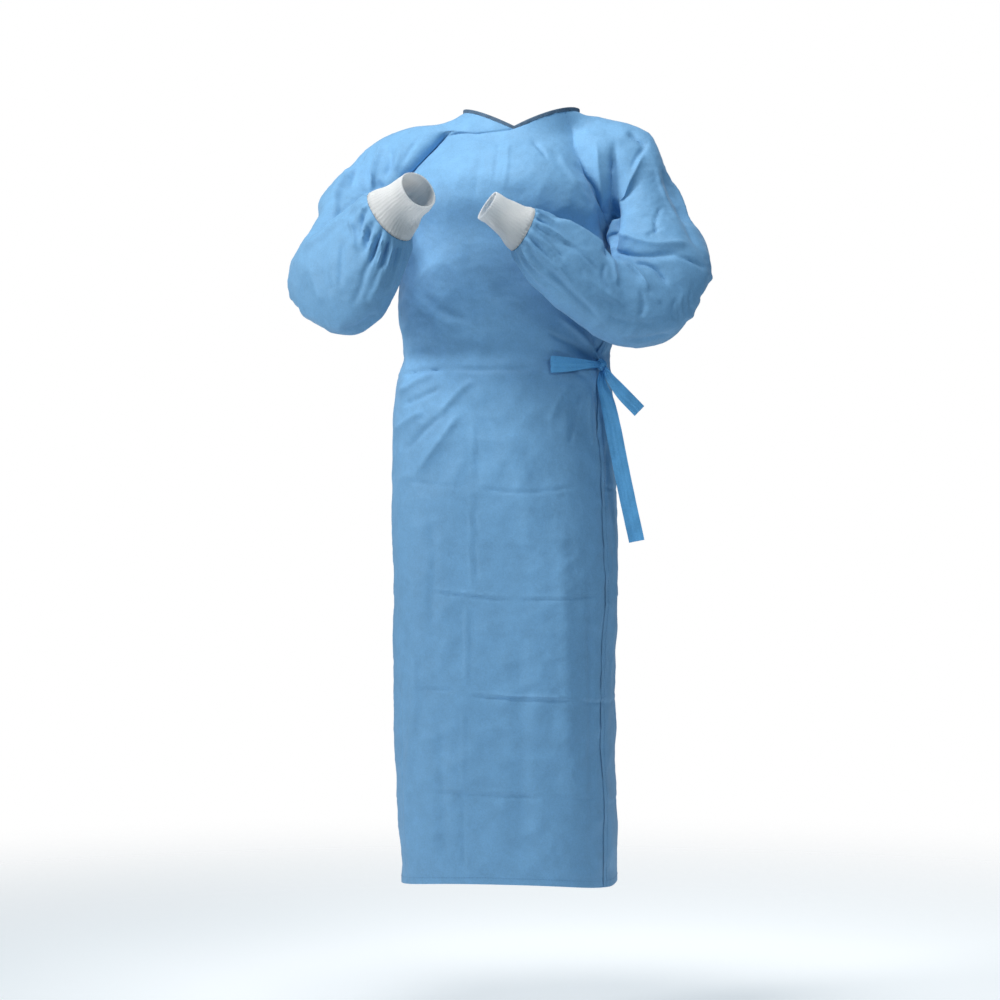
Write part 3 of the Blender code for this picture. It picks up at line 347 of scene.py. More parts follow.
RIGHT_SLEEVE_FOLDS = (
    (-0.099, -0.002, -0.138, -0.044, -0.183, -0.096, 0.011, -0.012, 2),
    (-0.211, -0.028, -0.223, -0.07, -0.233, -0.109, 0.007, 0.005, 2),
    (-0.199, -0.034, -0.201, -0.063, -0.206, -0.089, 0.009, -0.004, 2),
    (-0.238, -0.044, -0.254, -0.073, -0.264, -0.109, 0.007, -0.002, 0),
    (-0.261, -0.066, -0.28, -0.099, -0.29, -0.131, 0.008, 0.0024, 0),
    (-0.177, -0.024, -0.186, -0.05, -0.189, -0.076, 0.007, 0.002, 0),
    (-0.151, -0.018, -0.167, -0.041, -0.18, -0.066, 0.006, -0.0018, 0),
    (-0.34, -0.206, -0.304, -0.173, -0.266, -0.144, 0.008, 0.0036, 0),
    (-0.266, -0.144, -0.228, -0.117, -0.191, -0.099, 0.007, 0.003, 0),
    (-0.326, -0.186, -0.29, -0.151, -0.254, -0.125, 0.009, -0.0028, 0),
    (-0.266, -0.147, -0.259, -0.173, -0.256, -0.203, 0.005, 0.0024, 0),
    (-0.275, -0.183, -0.277, -0.222, -0.279, -0.264, 0.008, -0.002, 0),
    (-0.329, -0.222, -0.322, -0.258, -0.309, -0.293, 0.01, 0.002, 0),
    (-0.303, -0.203, -0.303, -0.238, -0.293, -0.277, 0.008, -0.0016, 0),
    (-0.243, -0.134, -0.245, -0.157, -0.251, -0.186, 0.0034, -0.002, 0),
    (-0.233, -0.157, -0.235, -0.18, -0.241, -0.209, 0.0034, -0.002, 0),
    (-0.22, -0.173, -0.222, -0.196, -0.232, -0.225, 0.0034, -0.002, 0),
    (-0.202, -0.186, -0.206, -0.209, -0.215, -0.235, 0.0034, -0.0018, 0),
    (-0.238, -0.147, -0.24, -0.17, -0.246, -0.196, 0.0032, 0.0016, 0),
    (-0.227, -0.167, -0.228, -0.19, -0.235, -0.215, 0.0032, 0.0016, 0),
    (-0.212, -0.183, -0.214, -0.206, -0.222, -0.232, 0.0032, 0.0016, 0),
    (-0.279, -0.334, -0.251, -0.327, -0.217, -0.303, 0.009, -0.003, 0),
    (-0.212, -0.222, -0.219, -0.258, -0.235, -0.29, 0.008, 0.002, 0),
    (-0.238, -0.222, -0.245, -0.261, -0.264, -0.296, 0.008, -0.0016, 0),
)

# Fine rows and columns of the pieces
YOKE_ROWS = 64
LOWER_STEP = 0.0034
FRONT_COLUMNS = 140
OVER_COLUMNS = 150
UNDER_COLUMNS = 72
TUBE_LINES = 210
ROUND_LINES = 132
HEM_TURN = 0.012
HEM_DEPTH = 0.0007
SEAM_SINK = 0.0009
SEAM_REACH = 0.0030
SEAM_EASE = 0.012
EDGE_LIES = 0.0011
EDGE_EASE = 0.030
EDGE_TURN = 0.012
GATHERS_FADE = 0.20
FOLD_STEP = 0.0025
BEND_REACH = 26
BEND_EASE = 0.07
BEND_ROUNDS = 90
SHARP_ANGLE = math.radians(60.0)
THREADS_TURN = 12000.0
SLEEVE_FOLD_SHARE = 1.6
TAPE_OUT = 0.0011
TAPE_DOWN = 0.0018
GRIDS = {}

# Folds seen from the back and the sides: across and up in metres, half width, height, and kind as above
BACK_FOLDS = (
    (-0.080, -0.080, -0.085, -0.180, -0.070, -0.300, 0.014, 0.0030, 0),
    (-0.050, -0.060, -0.048, -0.160, -0.052, -0.280, 0.012, -0.0026, 0),
    (0.060, -0.090, 0.068, -0.190, 0.062, -0.310, 0.014, 0.0028, 0),
    (0.090, -0.100, 0.098, -0.180, 0.090, -0.280, 0.010, -0.0024, 0),
    (-0.010, -0.120, -0.006, -0.240, -0.012, -0.350, 0.018, -0.0018, 0),
    (-0.150, -0.372, -0.080, -0.384, 0.000, -0.380, 0.008, -0.0026, 0),
    (0.000, -0.380, 0.080, -0.386, 0.150, -0.378, 0.008, -0.0030, 0),
    (0.150, -0.396, 0.100, -0.420, 0.060, -0.462, 0.010, 0.0032, 0),
    (0.152, -0.410, 0.120, -0.446, 0.098, -0.500, 0.009, -0.0024, 0),
    (-0.150, -0.396, -0.110, -0.420, -0.086, -0.460, 0.010, 0.0028, 0),
    (-0.040, -0.396, -0.052, -0.440, -0.050, -0.500, 0.011, 0.0022, 0),
    (0.020, -0.398, 0.030, -0.450, 0.028, -0.520, 0.012, -0.0020, 0),
    (-0.096, -0.480, -0.090, -0.700, -0.098, -0.940, 0.020, -0.0026, 0),
    (0.050, -0.540, 0.056, -0.760, 0.050, -1.000, 0.022, 0.0026, 0),
    (-0.030, -0.620, -0.034, -0.860, -0.028, -1.120, 0.020, 0.0022, 0),
    (0.104, -0.700, 0.110, -0.900, 0.104, -1.160, 0.016, -0.0024, 0),
    (-0.160, -0.586, -0.010, -0.592, 0.150, -0.584, 0.0040, -0.0015, 0),
    (-0.160, -0.760, 0.000, -0.764, 0.150, -0.758, 0.0042, 0.0007, 1),
    (-0.160, -0.930, -0.010, -0.926, 0.150, -0.932, 0.0044, 0.0008, 1),
    (-0.160, -1.088, 0.010, -1.092, 0.150, -1.086, 0.0042, 0.0006, 1),
    (-0.036, -0.100, -0.038, -0.300, -0.036, -0.420, 0.0038, 0.0012, 0),
    (-0.038, -0.440, -0.036, -0.620, -0.038, -0.750, 0.0040, -0.0016, 0),
    (-0.036, -0.780, -0.038, -0.920, -0.036, -1.060, 0.0040, 0.0014, 0),
    (0.078, -0.440, 0.080, -0.700, 0.078, -0.920, 0.0040, 0.0014, 1),
)
LEFT_SIDE_FOLDS = (
    (-0.050, -0.392, -0.010, -0.410, 0.030, -0.408, 0.009, 0.0030, 0),
    (-0.048, -0.400, -0.012, -0.440, 0.020, -0.480, 0.010, -0.0026, 0),
    (-0.050, -0.384, -0.010, -0.370, 0.040, -0.366, 0.008, -0.0026, 0),
    (-0.030, -0.520, -0.024, -0.720, -0.030, -0.940, 0.018, 0.0024, 0),
    (0.030, -0.600, 0.034, -0.840, 0.028, -1.120, 0.018, -0.0022, 0),
    (-0.080, -0.586, 0.020, -0.590, 0.120, -0.584, 0.0040, -0.0015, 0),
    (-0.080, -0.760, 0.020, -0.764, 0.120, -0.760, 0.0042, 0.0007, 1),
    (-0.080, -0.930, 0.020, -0.928, 0.120, -0.930, 0.0044, 0.0008, 1),
    (-0.080, -1.088, 0.020, -1.090, 0.120, -1.088, 0.0042, 0.0006, 1),
)
RIGHT_SIDE_FOLDS = (
    (-0.040, -0.376, 0.010, -0.384, 0.060, -0.378, 0.008, -0.0026, 0),
    (-0.030, -0.396, 0.012, -0.424, 0.040, -0.470, 0.010, 0.0030, 0),
    (0.020, -0.396, 0.046, -0.430, 0.058, -0.480, 0.009, -0.0022, 0),
    (0.000, -0.500, 0.006, -0.720, 0.000, -0.960, 0.018, 0.0024, 0),
    (0.056, -0.560, 0.060, -0.800, 0.054, -1.100, 0.018, -0.0022, 0),
    (-0.060, -0.586, 0.030, -0.590, 0.120, -0.584, 0.0040, -0.0015, 0),
    (-0.060, -0.760, 0.030, -0.764, 0.120, -0.760, 0.0042, 0.0007, 1),
    (-0.060, -0.930, 0.030, -0.928, 0.120, -0.930, 0.0044, 0.0008, 1),
    (-0.060, -1.088, 0.030, -1.090, 0.120, -1.088, 0.0042, 0.0006, 1),
)
LEFT_SLEEVE_BACK_FOLDS = (
    (0.140, -0.060, 0.176, -0.100, 0.196, -0.160, 0.010, 0.0034, 0),
    (0.160, -0.040, 0.204, -0.076, 0.232, -0.130, 0.009, -0.0032, 0),
    (0.180, -0.130, 0.214, -0.176, 0.262, -0.200, 0.010, 0.0030, 0),
    (0.190, -0.190, 0.230, -0.214, 0.286, -0.226, 0.007, -0.0034, 0),
    (0.180, -0.240, 0.226, -0.250, 0.290, -0.262, 0.009, 0.0028, 0),
    (0.170, -0.290, 0.216, -0.286, 0.276, -0.300, 0.008, -0.0026, 0),
    (0.170, -0.330, 0.206, -0.322, 0.256, -0.330, 0.007, 0.0020, 0),
)
RIGHT_SLEEVE_BACK_FOLDS = (
    (-0.150, -0.050, -0.186, -0.090, -0.206, -0.150, 0.010, 0.0034, 0),
    (-0.176, -0.030, -0.220, -0.070, -0.246, -0.120, 0.009, -0.0032, 0),
    (-0.200, -0.130, -0.236, -0.160, -0.286, -0.186, 0.010, 0.0030, 0),
    (-0.206, -0.176, -0.244, -0.200, -0.296, -0.214, 0.007, -0.0034, 0),
    (-0.200, -0.220, -0.240, -0.236, -0.290, -0.256, 0.009, 0.0028, 0),
    (-0.190, -0.280, -0.230, -0.280, -0.280, -0.300, 0.008, -0.0024, 0),
)
LEFT_SLEEVE_SIDE_FOLDS = (
    (0.040, -0.060, 0.010, -0.120, -0.020, -0.180, 0.010, 0.0030, 0),
    (0.060, -0.100, 0.030, -0.160, -0.010, -0.220, 0.008, -0.0030, 0),
    (0.040, -0.200, 0.000, -0.240, -0.050, -0.260, 0.009, 0.0030, 0),
    (0.020, -0.260, -0.030, -0.280, -0.080, -0.290, 0.007, -0.0028, 0),
    (-0.010, -0.310, -0.060, -0.316, -0.110, -0.320, 0.008, 0.0022, 0),
)
RIGHT_SLEEVE_SIDE_FOLDS = (
    (0.040, -0.060, -0.010, -0.110, -0.040, -0.160, 0.010, 0.0030, 0),
    (0.050, -0.110, 0.000, -0.150, -0.050, -0.190, 0.008, -0.0030, 0),
    (-0.040, -0.200, -0.090, -0.220, -0.140, -0.236, 0.009, 0.0030, 0),
    (-0.080, -0.250, -0.130, -0.262, -0.190, -0.262, 0.007, -0.0030, 0),
    (-0.130, -0.290, -0.180, -0.296, -0.230, -0.290, 0.008, 0.0024, 0),
    (-0.180, -0.320, -0.220, -0.316, -0.260, -0.306, 0.007, -0.0020, 0),
    (-0.020, -0.085, -0.090, -0.125, -0.160, -0.165, 0.030, 0.0040, 0),
)
VIEW_DIRECTIONS = {
    "front": (math.sin(VIEW_TURN), -math.cos(VIEW_TURN), 0.0),
    "back": (0.0, 1.0, 0.0),
    "left": (1.0, 0.0, 0.0),
    "right": (-1.0, 0.0, 0.0),
}


def smooth(share):
    """Ease from 0 to 1."""
    share = np.clip(share, 0.0, 1.0)
    return share * share * (3.0 - 2.0 * share)


def spline(knots, values, at):
    """Read a smooth curve through the rows of values at the places given."""
    knots = np.asarray(knots, float)
    values = np.asarray(values, float)
    at = np.asarray(at, float)
    slopes = np.gradient(values, knots, axis=0)
    low = np.clip(np.searchsorted(knots, at, side="right") - 1, 0, len(knots) - 2)
    step = knots[low + 1] - knots[low]
    share = np.clip((at - knots[low]) / step, 0.0, 1.0)
    if values.ndim > 1:
        step = step[..., None]
        share = share[..., None]
    start = values[low] * (1 + 2 * share) * (1 - share) ** 2
    end = values[low + 1] * share**2 * (3 - 2 * share)
    leave = slopes[low] * step * share * (1 - share) ** 2
    arrive = slopes[low + 1] * step * share**2 * (share - 1)
    return start + end + leave + arrive


def curve_through(points, at):
    """Read a smooth curve through points, at shares of its length."""
    points = np.asarray(points, float)
    steps = np.linalg.norm(np.diff(points, axis=0), axis=1)
    knots = np.concatenate(([0.0], np.cumsum(steps)))
    return spline(knots / knots[-1], points, at)


def unit(vectors):
    """Scale vectors to length one."""
    length = np.linalg.norm(vectors, axis=-1, keepdims=True)
    return vectors / np.maximum(length, 1e-9)


def round_power(value, squareness):
    """Sine or cosine drawn out to a squarer section."""
    return np.sign(value) * np.abs(value) ** (2.0 / squareness)


def neck_edge(angle):
    """Edge of the cloth round the neck, at angles in degrees."""
    turn = np.radians(np.asarray(angle, float))
    across = np.sin(turn)
    ahead = np.cos(turn)
    reach = np.where(ahead > 0, NECK_FRONT, NECK_BACK)
    dip = (1.0 - np.abs(across)) ** NECK_V_POWER * NECK_FRONT_DROP
    sag = ahead**2 * NECK_BACK_DROP
    up = NECK_SIDE_UP - np.where(ahead > 0, dip, sag)
    return np.stack([NECK_MIDDLE + NECK_HALF_WIDTH * across, NECK_SEAT - reach * ahead, up], axis=-1)


def body_ring(angle, up):
    """Point on the gown's body below the underarm."""
    table = np.asarray(BODY)
    angle, up = np.broadcast_arrays(np.asarray(angle, float), np.asarray(up, float))
    row = spline(-table[:, 0], table, -up)
    turn = np.radians(angle)
    side = round_power(np.sin(turn), row[..., 5])
    ahead = round_power(np.cos(turn), row[..., 5])
    depth = np.where(ahead > 0, row[..., 3], row[..., 4])
    rise = HEM_RISE * smooth(up / HEM * 2 - 1) * np.maximum(np.cos(turn), 0) ** 2
    return np.stack([row[..., 1] + row[..., 2] * side, -depth * ahead, up + rise], axis=-1)


def underarm(hand):
    """The point where body, front seam, back seam and sleeve meet."""
    return body_ring(90.0 * hand, UNDERARM)


def raglan(points, neck_angle, hand, at):
    """A raglan seam from the neck edge to the underarm."""
    route = np.vstack([neck_edge(neck_angle)[None], points, underarm(hand)[None]])
    return curve_through(route, at)


RAGLANS = {
    ("front", -1): (RAGLAN_FRONT_RIGHT, FRONT_SEAM_RIGHT),
    ("front", 1): (RAGLAN_FRONT_LEFT, FRONT_SEAM_LEFT),
    ("back", -1): (RAGLAN_BACK_RIGHT, BACK_SEAM_RIGHT),
    ("back", 1): (RAGLAN_BACK_LEFT, BACK_SEAM_LEFT),
}


def yoke(side, angle, share):
    """Front or back between the raglan seams, from the neck at share 0 to the underarm at share 1.

    The angle runs to 90 degrees on each side, as on the ring at the underarm.
    """
    angle, share = np.broadcast_arrays(np.asarray(angle, float), np.asarray(share, float))
    right_points, right_neck = RAGLANS[side, -1]
    left_points, left_neck = RAGLANS[side, 1]
    right_end, left_end = (-90.0, 90.0) if side == "front" else (270.0, 90.0)
    across = ((angle - right_end) / (left_end - right_end))[..., None]
    right = raglan(right_points, right_neck, -1, share)
    left = raglan(left_points, left_neck, 1, share)
    top = neck_edge(right_neck + (left_neck - right_neck) * across[..., 0])
    bottom = body_ring(angle, UNDERARM)
    top_chord = neck_edge(right_neck) * (1 - across) + neck_edge(left_neck) * across
    bottom_chord = underarm(-1) * (1 - across) + underarm(1) * across
    share = share[..., None]
    rows = right * (1 - across) + left * across
    swell = share ** (CHEST_SWELL if side == "front" else BACK_SWELL)
    rows = rows + (1 - share) ** 2 * (top - top_chord) + swell * (bottom - bottom_chord)
    if side == "front":
        rows[..., 2:] -= THROAT_DROP * share * (1 - share) ** 3 * np.sqrt(4 * across * (1 - across))
    return rows


def body(side, angle, level):
    """Point on the body: level 0 to 1 runs from neck to underarm, then one unit is one metre down."""
    angle, level = np.broadcast_arrays(np.asarray(angle, float), np.asarray(level, float))
    upper = yoke(side, angle, np.clip(level, 0.0, 1.0))
    lower = body_ring(angle, UNDERARM - np.maximum(level - 1.0, 0.0))
    return np.where((level < 1.0)[..., None], upper, lower)


def seam_angle(column, level):
    """Angle of the right side seam or of the over back's edge at each level."""
    table = np.asarray(SEAMS)
    up = UNDERARM - np.maximum(level - 1.0, 0.0)
    return spline(-table[:, 0], table[:, SEAM_COLUMNS.index(column)], -up)


def seen(points):
    """Where points appear on the front view: across and up on the plane through the origin."""
    across = points[..., 0] * math.cos(VIEW_TURN) + points[..., 1] * math.sin(VIEW_TURN)
    behind = points[..., 1] * math.cos(VIEW_TURN) - points[..., 0] * math.sin(VIEW_TURN)
    shrink = 1.0 + behind / VIEW_DISTANCE
    across = VIEW_ACROSS + (across - VIEW_ACROSS) / shrink
    up = VIEW_UP + (points[..., 2] - VIEW_UP) / shrink
    return np.stack([across, up], axis=-1)


def grid_normals(grid):
    """Directions square to a grid of points, rows running down and columns round."""
    down = np.gradient(grid, axis=0)
    along = np.gradient(grid, axis=1)
    return unit(np.cross(down, along))


def front_grid(levels, across):
    """Front panel from the wearer's right seam to the left one."""
    share = np.linspace(0.0, 1.0, across + 1)[None, :]
    right = seam_angle("right_seam", levels)[:, None]
    angle = right + (90.0 - right) * share
    return body("front", angle, levels[:, None])


def under_grid(levels, across):
    """Under back from the wearer's left seam to its free edge past the middle."""
    share = np.linspace(0.0, 1.0, across + 1)[None, :]
    edge = UNDER_EDGE_AT_NECK + (UNDER_EDGE_BELOW - UNDER_EDGE_AT_NECK) * smooth(levels)[:, None]
    return body("back", 90.0 + (edge - 90.0) * share, levels[:, None])


def over_grid(levels, across):
    """Over back from its free edge at the left front, round the back, to the wearer's right seam."""
    share = np.linspace(0.0, 1.0, across + 1)[None, :]
    below = seam_angle("over_edge", levels)
    above = OVER_EDGE_AT_NECK + (below - OVER_EDGE_AT_NECK) * smooth(levels)
    edge = np.where(levels < 1.0, above, below)[:, None]
    seam = 360.0 + seam_angle("right_seam", levels)[:, None]
    angle = edge + (seam - edge) * share
    grid = body("back", angle, levels[:, None])
    lift = LAYER * smooth((seam - angle) / OVER_RAMP)
    away = grid_normals(grid) * lift[..., None]
    away[0, :, 2] = 0.0
    return grid + away


def sleeve_sections(table, hand, at):
    """Centre, crease-side, seam-side and outer half sizes of the sleeve's sections."""
    rows = np.asarray(table)
    crease, far, halves = rows[:, 0:3], rows[:, 3:6], rows[:, 6:8]
    middle = (crease + far) / 2
    steps = np.linalg.norm(np.diff(rows[:, 0:6], axis=0), axis=1)
    knots = np.concatenate(([0.0], np.cumsum(steps)))
    knots = knots / knots[-1]
    centre = spline(knots, middle, at)
    reach = spline(knots, (crease - far) / 2, at)
    half = spline(knots, halves, at)
    ahead = spline(knots, middle, np.minimum(at + 0.01, 1.0))
    behind = spline(knots, middle, np.maximum(at - 0.01, 0.0))
    side = unit(np.cross(reach, ahead - behind)) * -hand
    seam = side * half[:, 0:1]
    outer = -side * half[:, 1:2]
    first_seam = underarm(hand) - centre[0]
    first_outer = -unit(first_seam) * half[0, 1]
    blend = smooth(at / SLEEVE_TURNS_BY)[:, None]
    seam = first_seam * (1 - blend) + seam * blend
    outer = first_outer * (1 - blend) + outer * blend
    return centre, reach, seam, outer


def sleeve_ring(centre, reach, seam, outer, turn):
    """Points of sleeve sections: turn 0 at the seam, a quarter at the crease side and a half outside."""
    along = round_power(np.cos(turn), SLEEVE_SQUARENESS)[..., None]
    over = round_power(np.sin(turn), SLEEVE_SQUARENESS)[..., None]
    return centre + np.where(along > 0, seam, -outer) * along + reach * over


def sleeve_cap(table, hand, shoulder, share, turn):
    """The sleeve between its raglan seams, from the neck at share 0 to the full ring at share 1."""
    centre, reach, _, outer = (part[0] for part in sleeve_sections(table, hand, np.zeros(1)))
    front = raglan(*RAGLANS["front", hand], hand, share)
    back = raglan(*RAGLANS["back", hand], hand, share)
    top_route = np.vstack([neck_edge(90.0 * hand)[None], shoulder, (centre + outer)[None]])
    top = curve_through(top_route, share)
    front_half = turn <= math.pi
    start = np.where(front_half[..., None], front, back)
    swing = np.where(front_half, turn, 2 * math.pi - turn)[..., None]
    forward = np.array([0.0, -1.0, 0.0]) * np.linalg.norm(reach) * 0.5
    share = share[..., None]
    aside = np.concatenate([share**6, np.ones_like(share), np.ones_like(share)], axis=-1)
    bulge = (forward * (1 - share) + reach * aside * share) * share
    bulge = bulge + CAP_CLEAR * hand * share**4 * (1 - share)
    bulge = np.where(front_half[..., None], bulge, -bulge)
    middle = (start + top) / 2
    full = round_power(np.cos(swing), SLEEVE_SQUARENESS)
    lens = middle + (start - middle) * full + bulge * round_power(np.sin(swing), SLEEVE_SQUARENESS)
    corner = np.stack([start[..., 0], top[..., 1], start[..., 2]], axis=-1)
    arch = corner + (start - corner) * np.cos(swing / 2) + (top - corner) * np.sin(swing / 2)
    return arch * (1 - smooth(share)) + lens * smooth(share)


def clear_of_body(tube):
    """Push the parts of a sleeve's tube that come too near the body away from it, save the underarm point."""
    table = np.asarray(BODY)
    row = spline(-table[:, 0], table, -np.clip(tube[..., 2], CLEAR_DOWN_TO, UNDERARM))
    depth = np.where(tube[..., 1] < 0, row[..., 3], row[..., 4])
    across = (tube[..., 0] - row[..., 1]) / row[..., 2]
    power = row[..., 5]
    size = (np.abs(across) ** power + np.abs(tube[..., 1] / depth) ** power) ** (1 / power)
    least = 1.0 + SLEEVE_CLEAR / row[..., 2]
    grow = np.maximum(least / size, 1.0)
    grow[0, [0, -1]] = 1.0
    tube[..., 0] = row[..., 1] + (tube[..., 0] - row[..., 1]) * grow
    tube[..., 1] *= grow
    return tube


def sleeve_grid(table, hand, shoulder, cap_rows, tube_rows, around):
    """A raglan sleeve: cap rows that end on the raglan seams, then closed rings down to the cuff."""
    turn = np.linspace(0.0, 2 * math.pi, around + 1)[None, :]
    share = np.linspace(0.0, 1.0, cap_rows + 1)[:-1, None]
    share, cap_turn = np.broadcast_arrays(share, turn)
    cap = sleeve_cap(table, hand, shoulder, share, cap_turn)
    neck_front = RAGLANS["front", hand][1]
    neck_back = RAGLANS["back", hand][1]
    if hand < 0:
        neck_back -= 360.0
    neck = neck_edge(neck_front + (neck_back - neck_front) * turn[0] / (2 * math.pi))
    cap = cap + (1 - smooth(share / 0.5))[..., None] * (neck - cap[0])
    at = np.linspace(0.0, 1.0, tube_rows + 1)
    sections = [part[:, None, :] for part in sleeve_sections(table, hand, at)]
    tube = clear_of_body(sleeve_ring(*sections, np.broadcast_to(turn, (tube_rows + 1, around + 1))))
    return np.concatenate([cap, tube], axis=0), at


def cuff_rings(table, hand, end, around):
    """Middle and half sizes of a cuff's rings, from the sleeve to the wrist."""
    centre, reach, seam, outer = (part[-1] for part in sleeve_sections(table, hand, np.ones(1)))
    along, size = np.asarray(CUFF_PROFILE).T
    end = np.asarray(end)
    axis = unit(end - centre)
    middles = centre + (end - centre) * along[:, None]
    turn = np.linspace(0.0, 2 * math.pi, around + 1)[:-1]
    mean = (np.linalg.norm(reach) + np.linalg.norm(seam) + np.linalg.norm(outer)) / 3
    square_reach = unit(reach - axis * np.dot(reach, axis)) * mean
    square_side = unit(np.cross(square_reach, axis)) * -hand * mean
    blend = smooth(along / 0.5)[:, None]
    reaches = (reach * (1 - blend) + square_reach * blend) * size[:, None]
    seams = (seam * (1 - blend) + square_side * blend) * size[:, None]
    outers = (outer * (1 - blend) - square_side * blend) * size[:, None]
    parts = [part[:, None, :] for part in (middles, reaches, seams, outers)]
    rings = sleeve_ring(*parts, np.broadcast_to(turn, (len(along), around)))
    rings[0] += axis * SEAM_GAP
    return rings, middles


def binding_rings(steps):
    """Corners of the neck binding's section, from its under end round the neck to its over end."""
    back_turn = (BACK_SEAM_LEFT - BACK_SEAM_RIGHT) / 180.0
    under_end = BACK_SEAM_RIGHT - (270.0 - UNDER_EDGE_AT_NECK) * -back_turn
    over_end = BACK_SEAM_RIGHT - (270.0 - OVER_EDGE_AT_NECK) * -back_turn - 360.0
    angle = np.linspace(under_end, over_end, steps + 1)
    edge = neck_edge(angle)
    ahead = neck_edge(angle - 1.0) - neck_edge(angle + 1.0)
    out = unit(np.stack([-ahead[:, 1], ahead[:, 0], np.zeros(len(angle))], axis=-1))
    centre = np.array([NECK_MIDDLE, NECK_SEAT, 0.0])
    out *= np.sign(np.sum(out * (edge - centre), axis=1))[:, None]
    over_start = BACK_SEAM_RIGHT - 360.0
    lift = LAYER * smooth((over_start - angle) / (OVER_RAMP * -back_turn))
    up = np.array([0.0, 0.0, 1.0])
    outside = BINDING_PROUD + lift[:, None]
    inside = outside - BINDING_THICK
    low, high = BINDING_GAP, BINDING_GAP + BINDING_HEIGHT
    corners = [
        edge + out * outside + up * low,
        edge + out * outside + up * (high - BINDING_ROUND),
        edge + out * (outside - BINDING_ROUND) + up * high,
        edge + out * (inside + BINDING_ROUND) + up * high,
        edge + out * inside + up * (high - BINDING_ROUND),
        edge + out * inside + up * low,
    ]
    return np.stack(corners, axis=1)


def outside_body(angle, up, out):
    """A point clear of the body, at a distance square to its ring."""
    point = body_ring(angle, up)
    along = body_ring(angle + 0.5, up) - body_ring(angle - 0.5, up)
    square = unit(np.stack([along[..., 1], -along[..., 0], np.zeros_like(along[..., 0])], axis=-1))
    return point + square * np.asarray(out)[..., None]


def knot_place():
    """Centre of the knot."""
    return outside_body(np.array(KNOT_ANGLE), np.array(KNOT_UP), LAYER + KNOT_HALF_SIZES[1] + KNOT_CLEAR)


def beside_knot(direction):
    """A point just clear of the knot in a direction."""
    direction = unit(np.asarray(direction))
    turn = math.radians(KNOT_ANGLE)
    ahead = np.array([math.cos(turn), math.sin(turn), 0.0])
    aside = np.array([-math.sin(turn), math.cos(turn), 0.0])
    own = np.array([direction @ ahead, direction @ aside, direction[2]])
    return knot_place() + direction * (1.0 / np.linalg.norm(own / KNOT_HALF_SIZES) + TIE_GAP)


def place_in_view(points, side):
    """Across and up of points in one of the views."""
    if side == "front":
        return seen(points)
    return points[..., [0, 2]] if side == "back" else points[..., [1, 2]]


def fold_lift(places, fold):
    """Rise of the cloth along one fold."""
    half = fold[6]
    corners = np.asarray(fold[:6]).reshape(3, 2)
    length = np.linalg.norm(np.diff(corners, axis=0), axis=1).sum()
    line = curve_through(corners, np.linspace(0.0, 1.0, int(length / FOLD_STEP) + 12))
    low, high = line.min(axis=0) - 3 * half, line.max(axis=0) + 3 * half
    near = ((places > low) & (places < high)).all(axis=-1)
    lift = np.zeros(places.shape[:-1])
    if not near.any():
        return lift
    away = places[near][:, None, :] - line
    distance = np.linalg.norm(away, axis=-1)
    nearest = distance.argmin(axis=-1)
    from_end = np.minimum(nearest, len(line) - 1 - nearest) / (len(line) - 1) * length
    closest = distance[np.arange(len(nearest)), nearest]
    fade = smooth(0.10 + from_end / (0.25 * length))
    if fold[8] == 1:
        ahead = unit(np.gradient(line, axis=0))[nearest]
        delta = away[np.arange(len(nearest)), nearest]
        side = np.sign(ahead[:, 0] * delta[:, 1] - ahead[:, 1] * delta[:, 0])
        share = closest / half * side
        profile = 2.3 * share * np.exp(-((1.25 * share) ** 2))
    elif fold[8] == 2:
        profile = np.exp(-2.0 * (np.sqrt((closest / half) ** 2 + 0.02) - 0.14))
    else:
        profile = np.exp(-((1.5 * closest / half) ** 2))
    lift[near] = fold[7] * profile * fade
    return lift


def folds_lift(grid, normals, tables, strength=1.0):
    """Rise of the cloth along all folds of all views."""
    lift = np.zeros(grid.shape[:2])
    for side, folds in tables.items():
        facing = smooth((normals @ np.array(VIEW_DIRECTIONS[side]) - 0.05) / 0.30)
        places = place_in_view(grid, side)
        for fold in folds:
            lift += fold_lift(places, fold) * facing
    return lift * strength


def ripples(points, seed, size, count=16):
    """Smooth unevenness with waves of about one size, the same for all pieces at the same place."""
    chance = np.random.default_rng(seed)
    directions = unit(chance.normal(size=(count, 3)))
    numbers = 2 * math.pi / size * chance.uniform(0.7, 1.5, count)
    phases = chance.uniform(0.0, 2 * math.pi, count)
    return np.cos((points @ directions.T) * numbers + phases).sum(axis=-1) / math.sqrt(count / 2)


def crumple_lift(grid, strength=1.0):
    """Uneven drape and small crumples of light nonwoven cloth."""
    broad = 0.0011 * ripples(grid, 11, 0.17)
    small = 0.00022 * ripples(grid, 12, 0.055)
    sharp = 0.0010 * (0.6 - np.abs(ripples(grid, 13, 0.085)))
    fine = 0.00026 * (0.6 - np.abs(ripples(grid, 14, 0.026)))
    return (broad + small + sharp + fine) * strength


def edge_distance(grid):
    """Distance along the rows from each side edge of a grid, and along the columns from top and bottom."""
    steps = np.linalg.norm(np.diff(grid, axis=1), axis=-1)
    along = np.concatenate([np.zeros((len(grid), 1)), np.cumsum(steps, axis=1)], axis=1)
    steps = np.linalg.norm(np.diff(grid, axis=0), axis=-1)
    down = np.concatenate([np.zeros((1, grid.shape[1])), np.cumsum(steps, axis=0)], axis=0)
    return along, along[:, -1:] - along, down, down[-1:] - down


def seam_lift(distance):
    """The cloth dips where it is sewn."""
    return -SEAM_SINK * np.exp(-((distance / SEAM_REACH) ** 2))


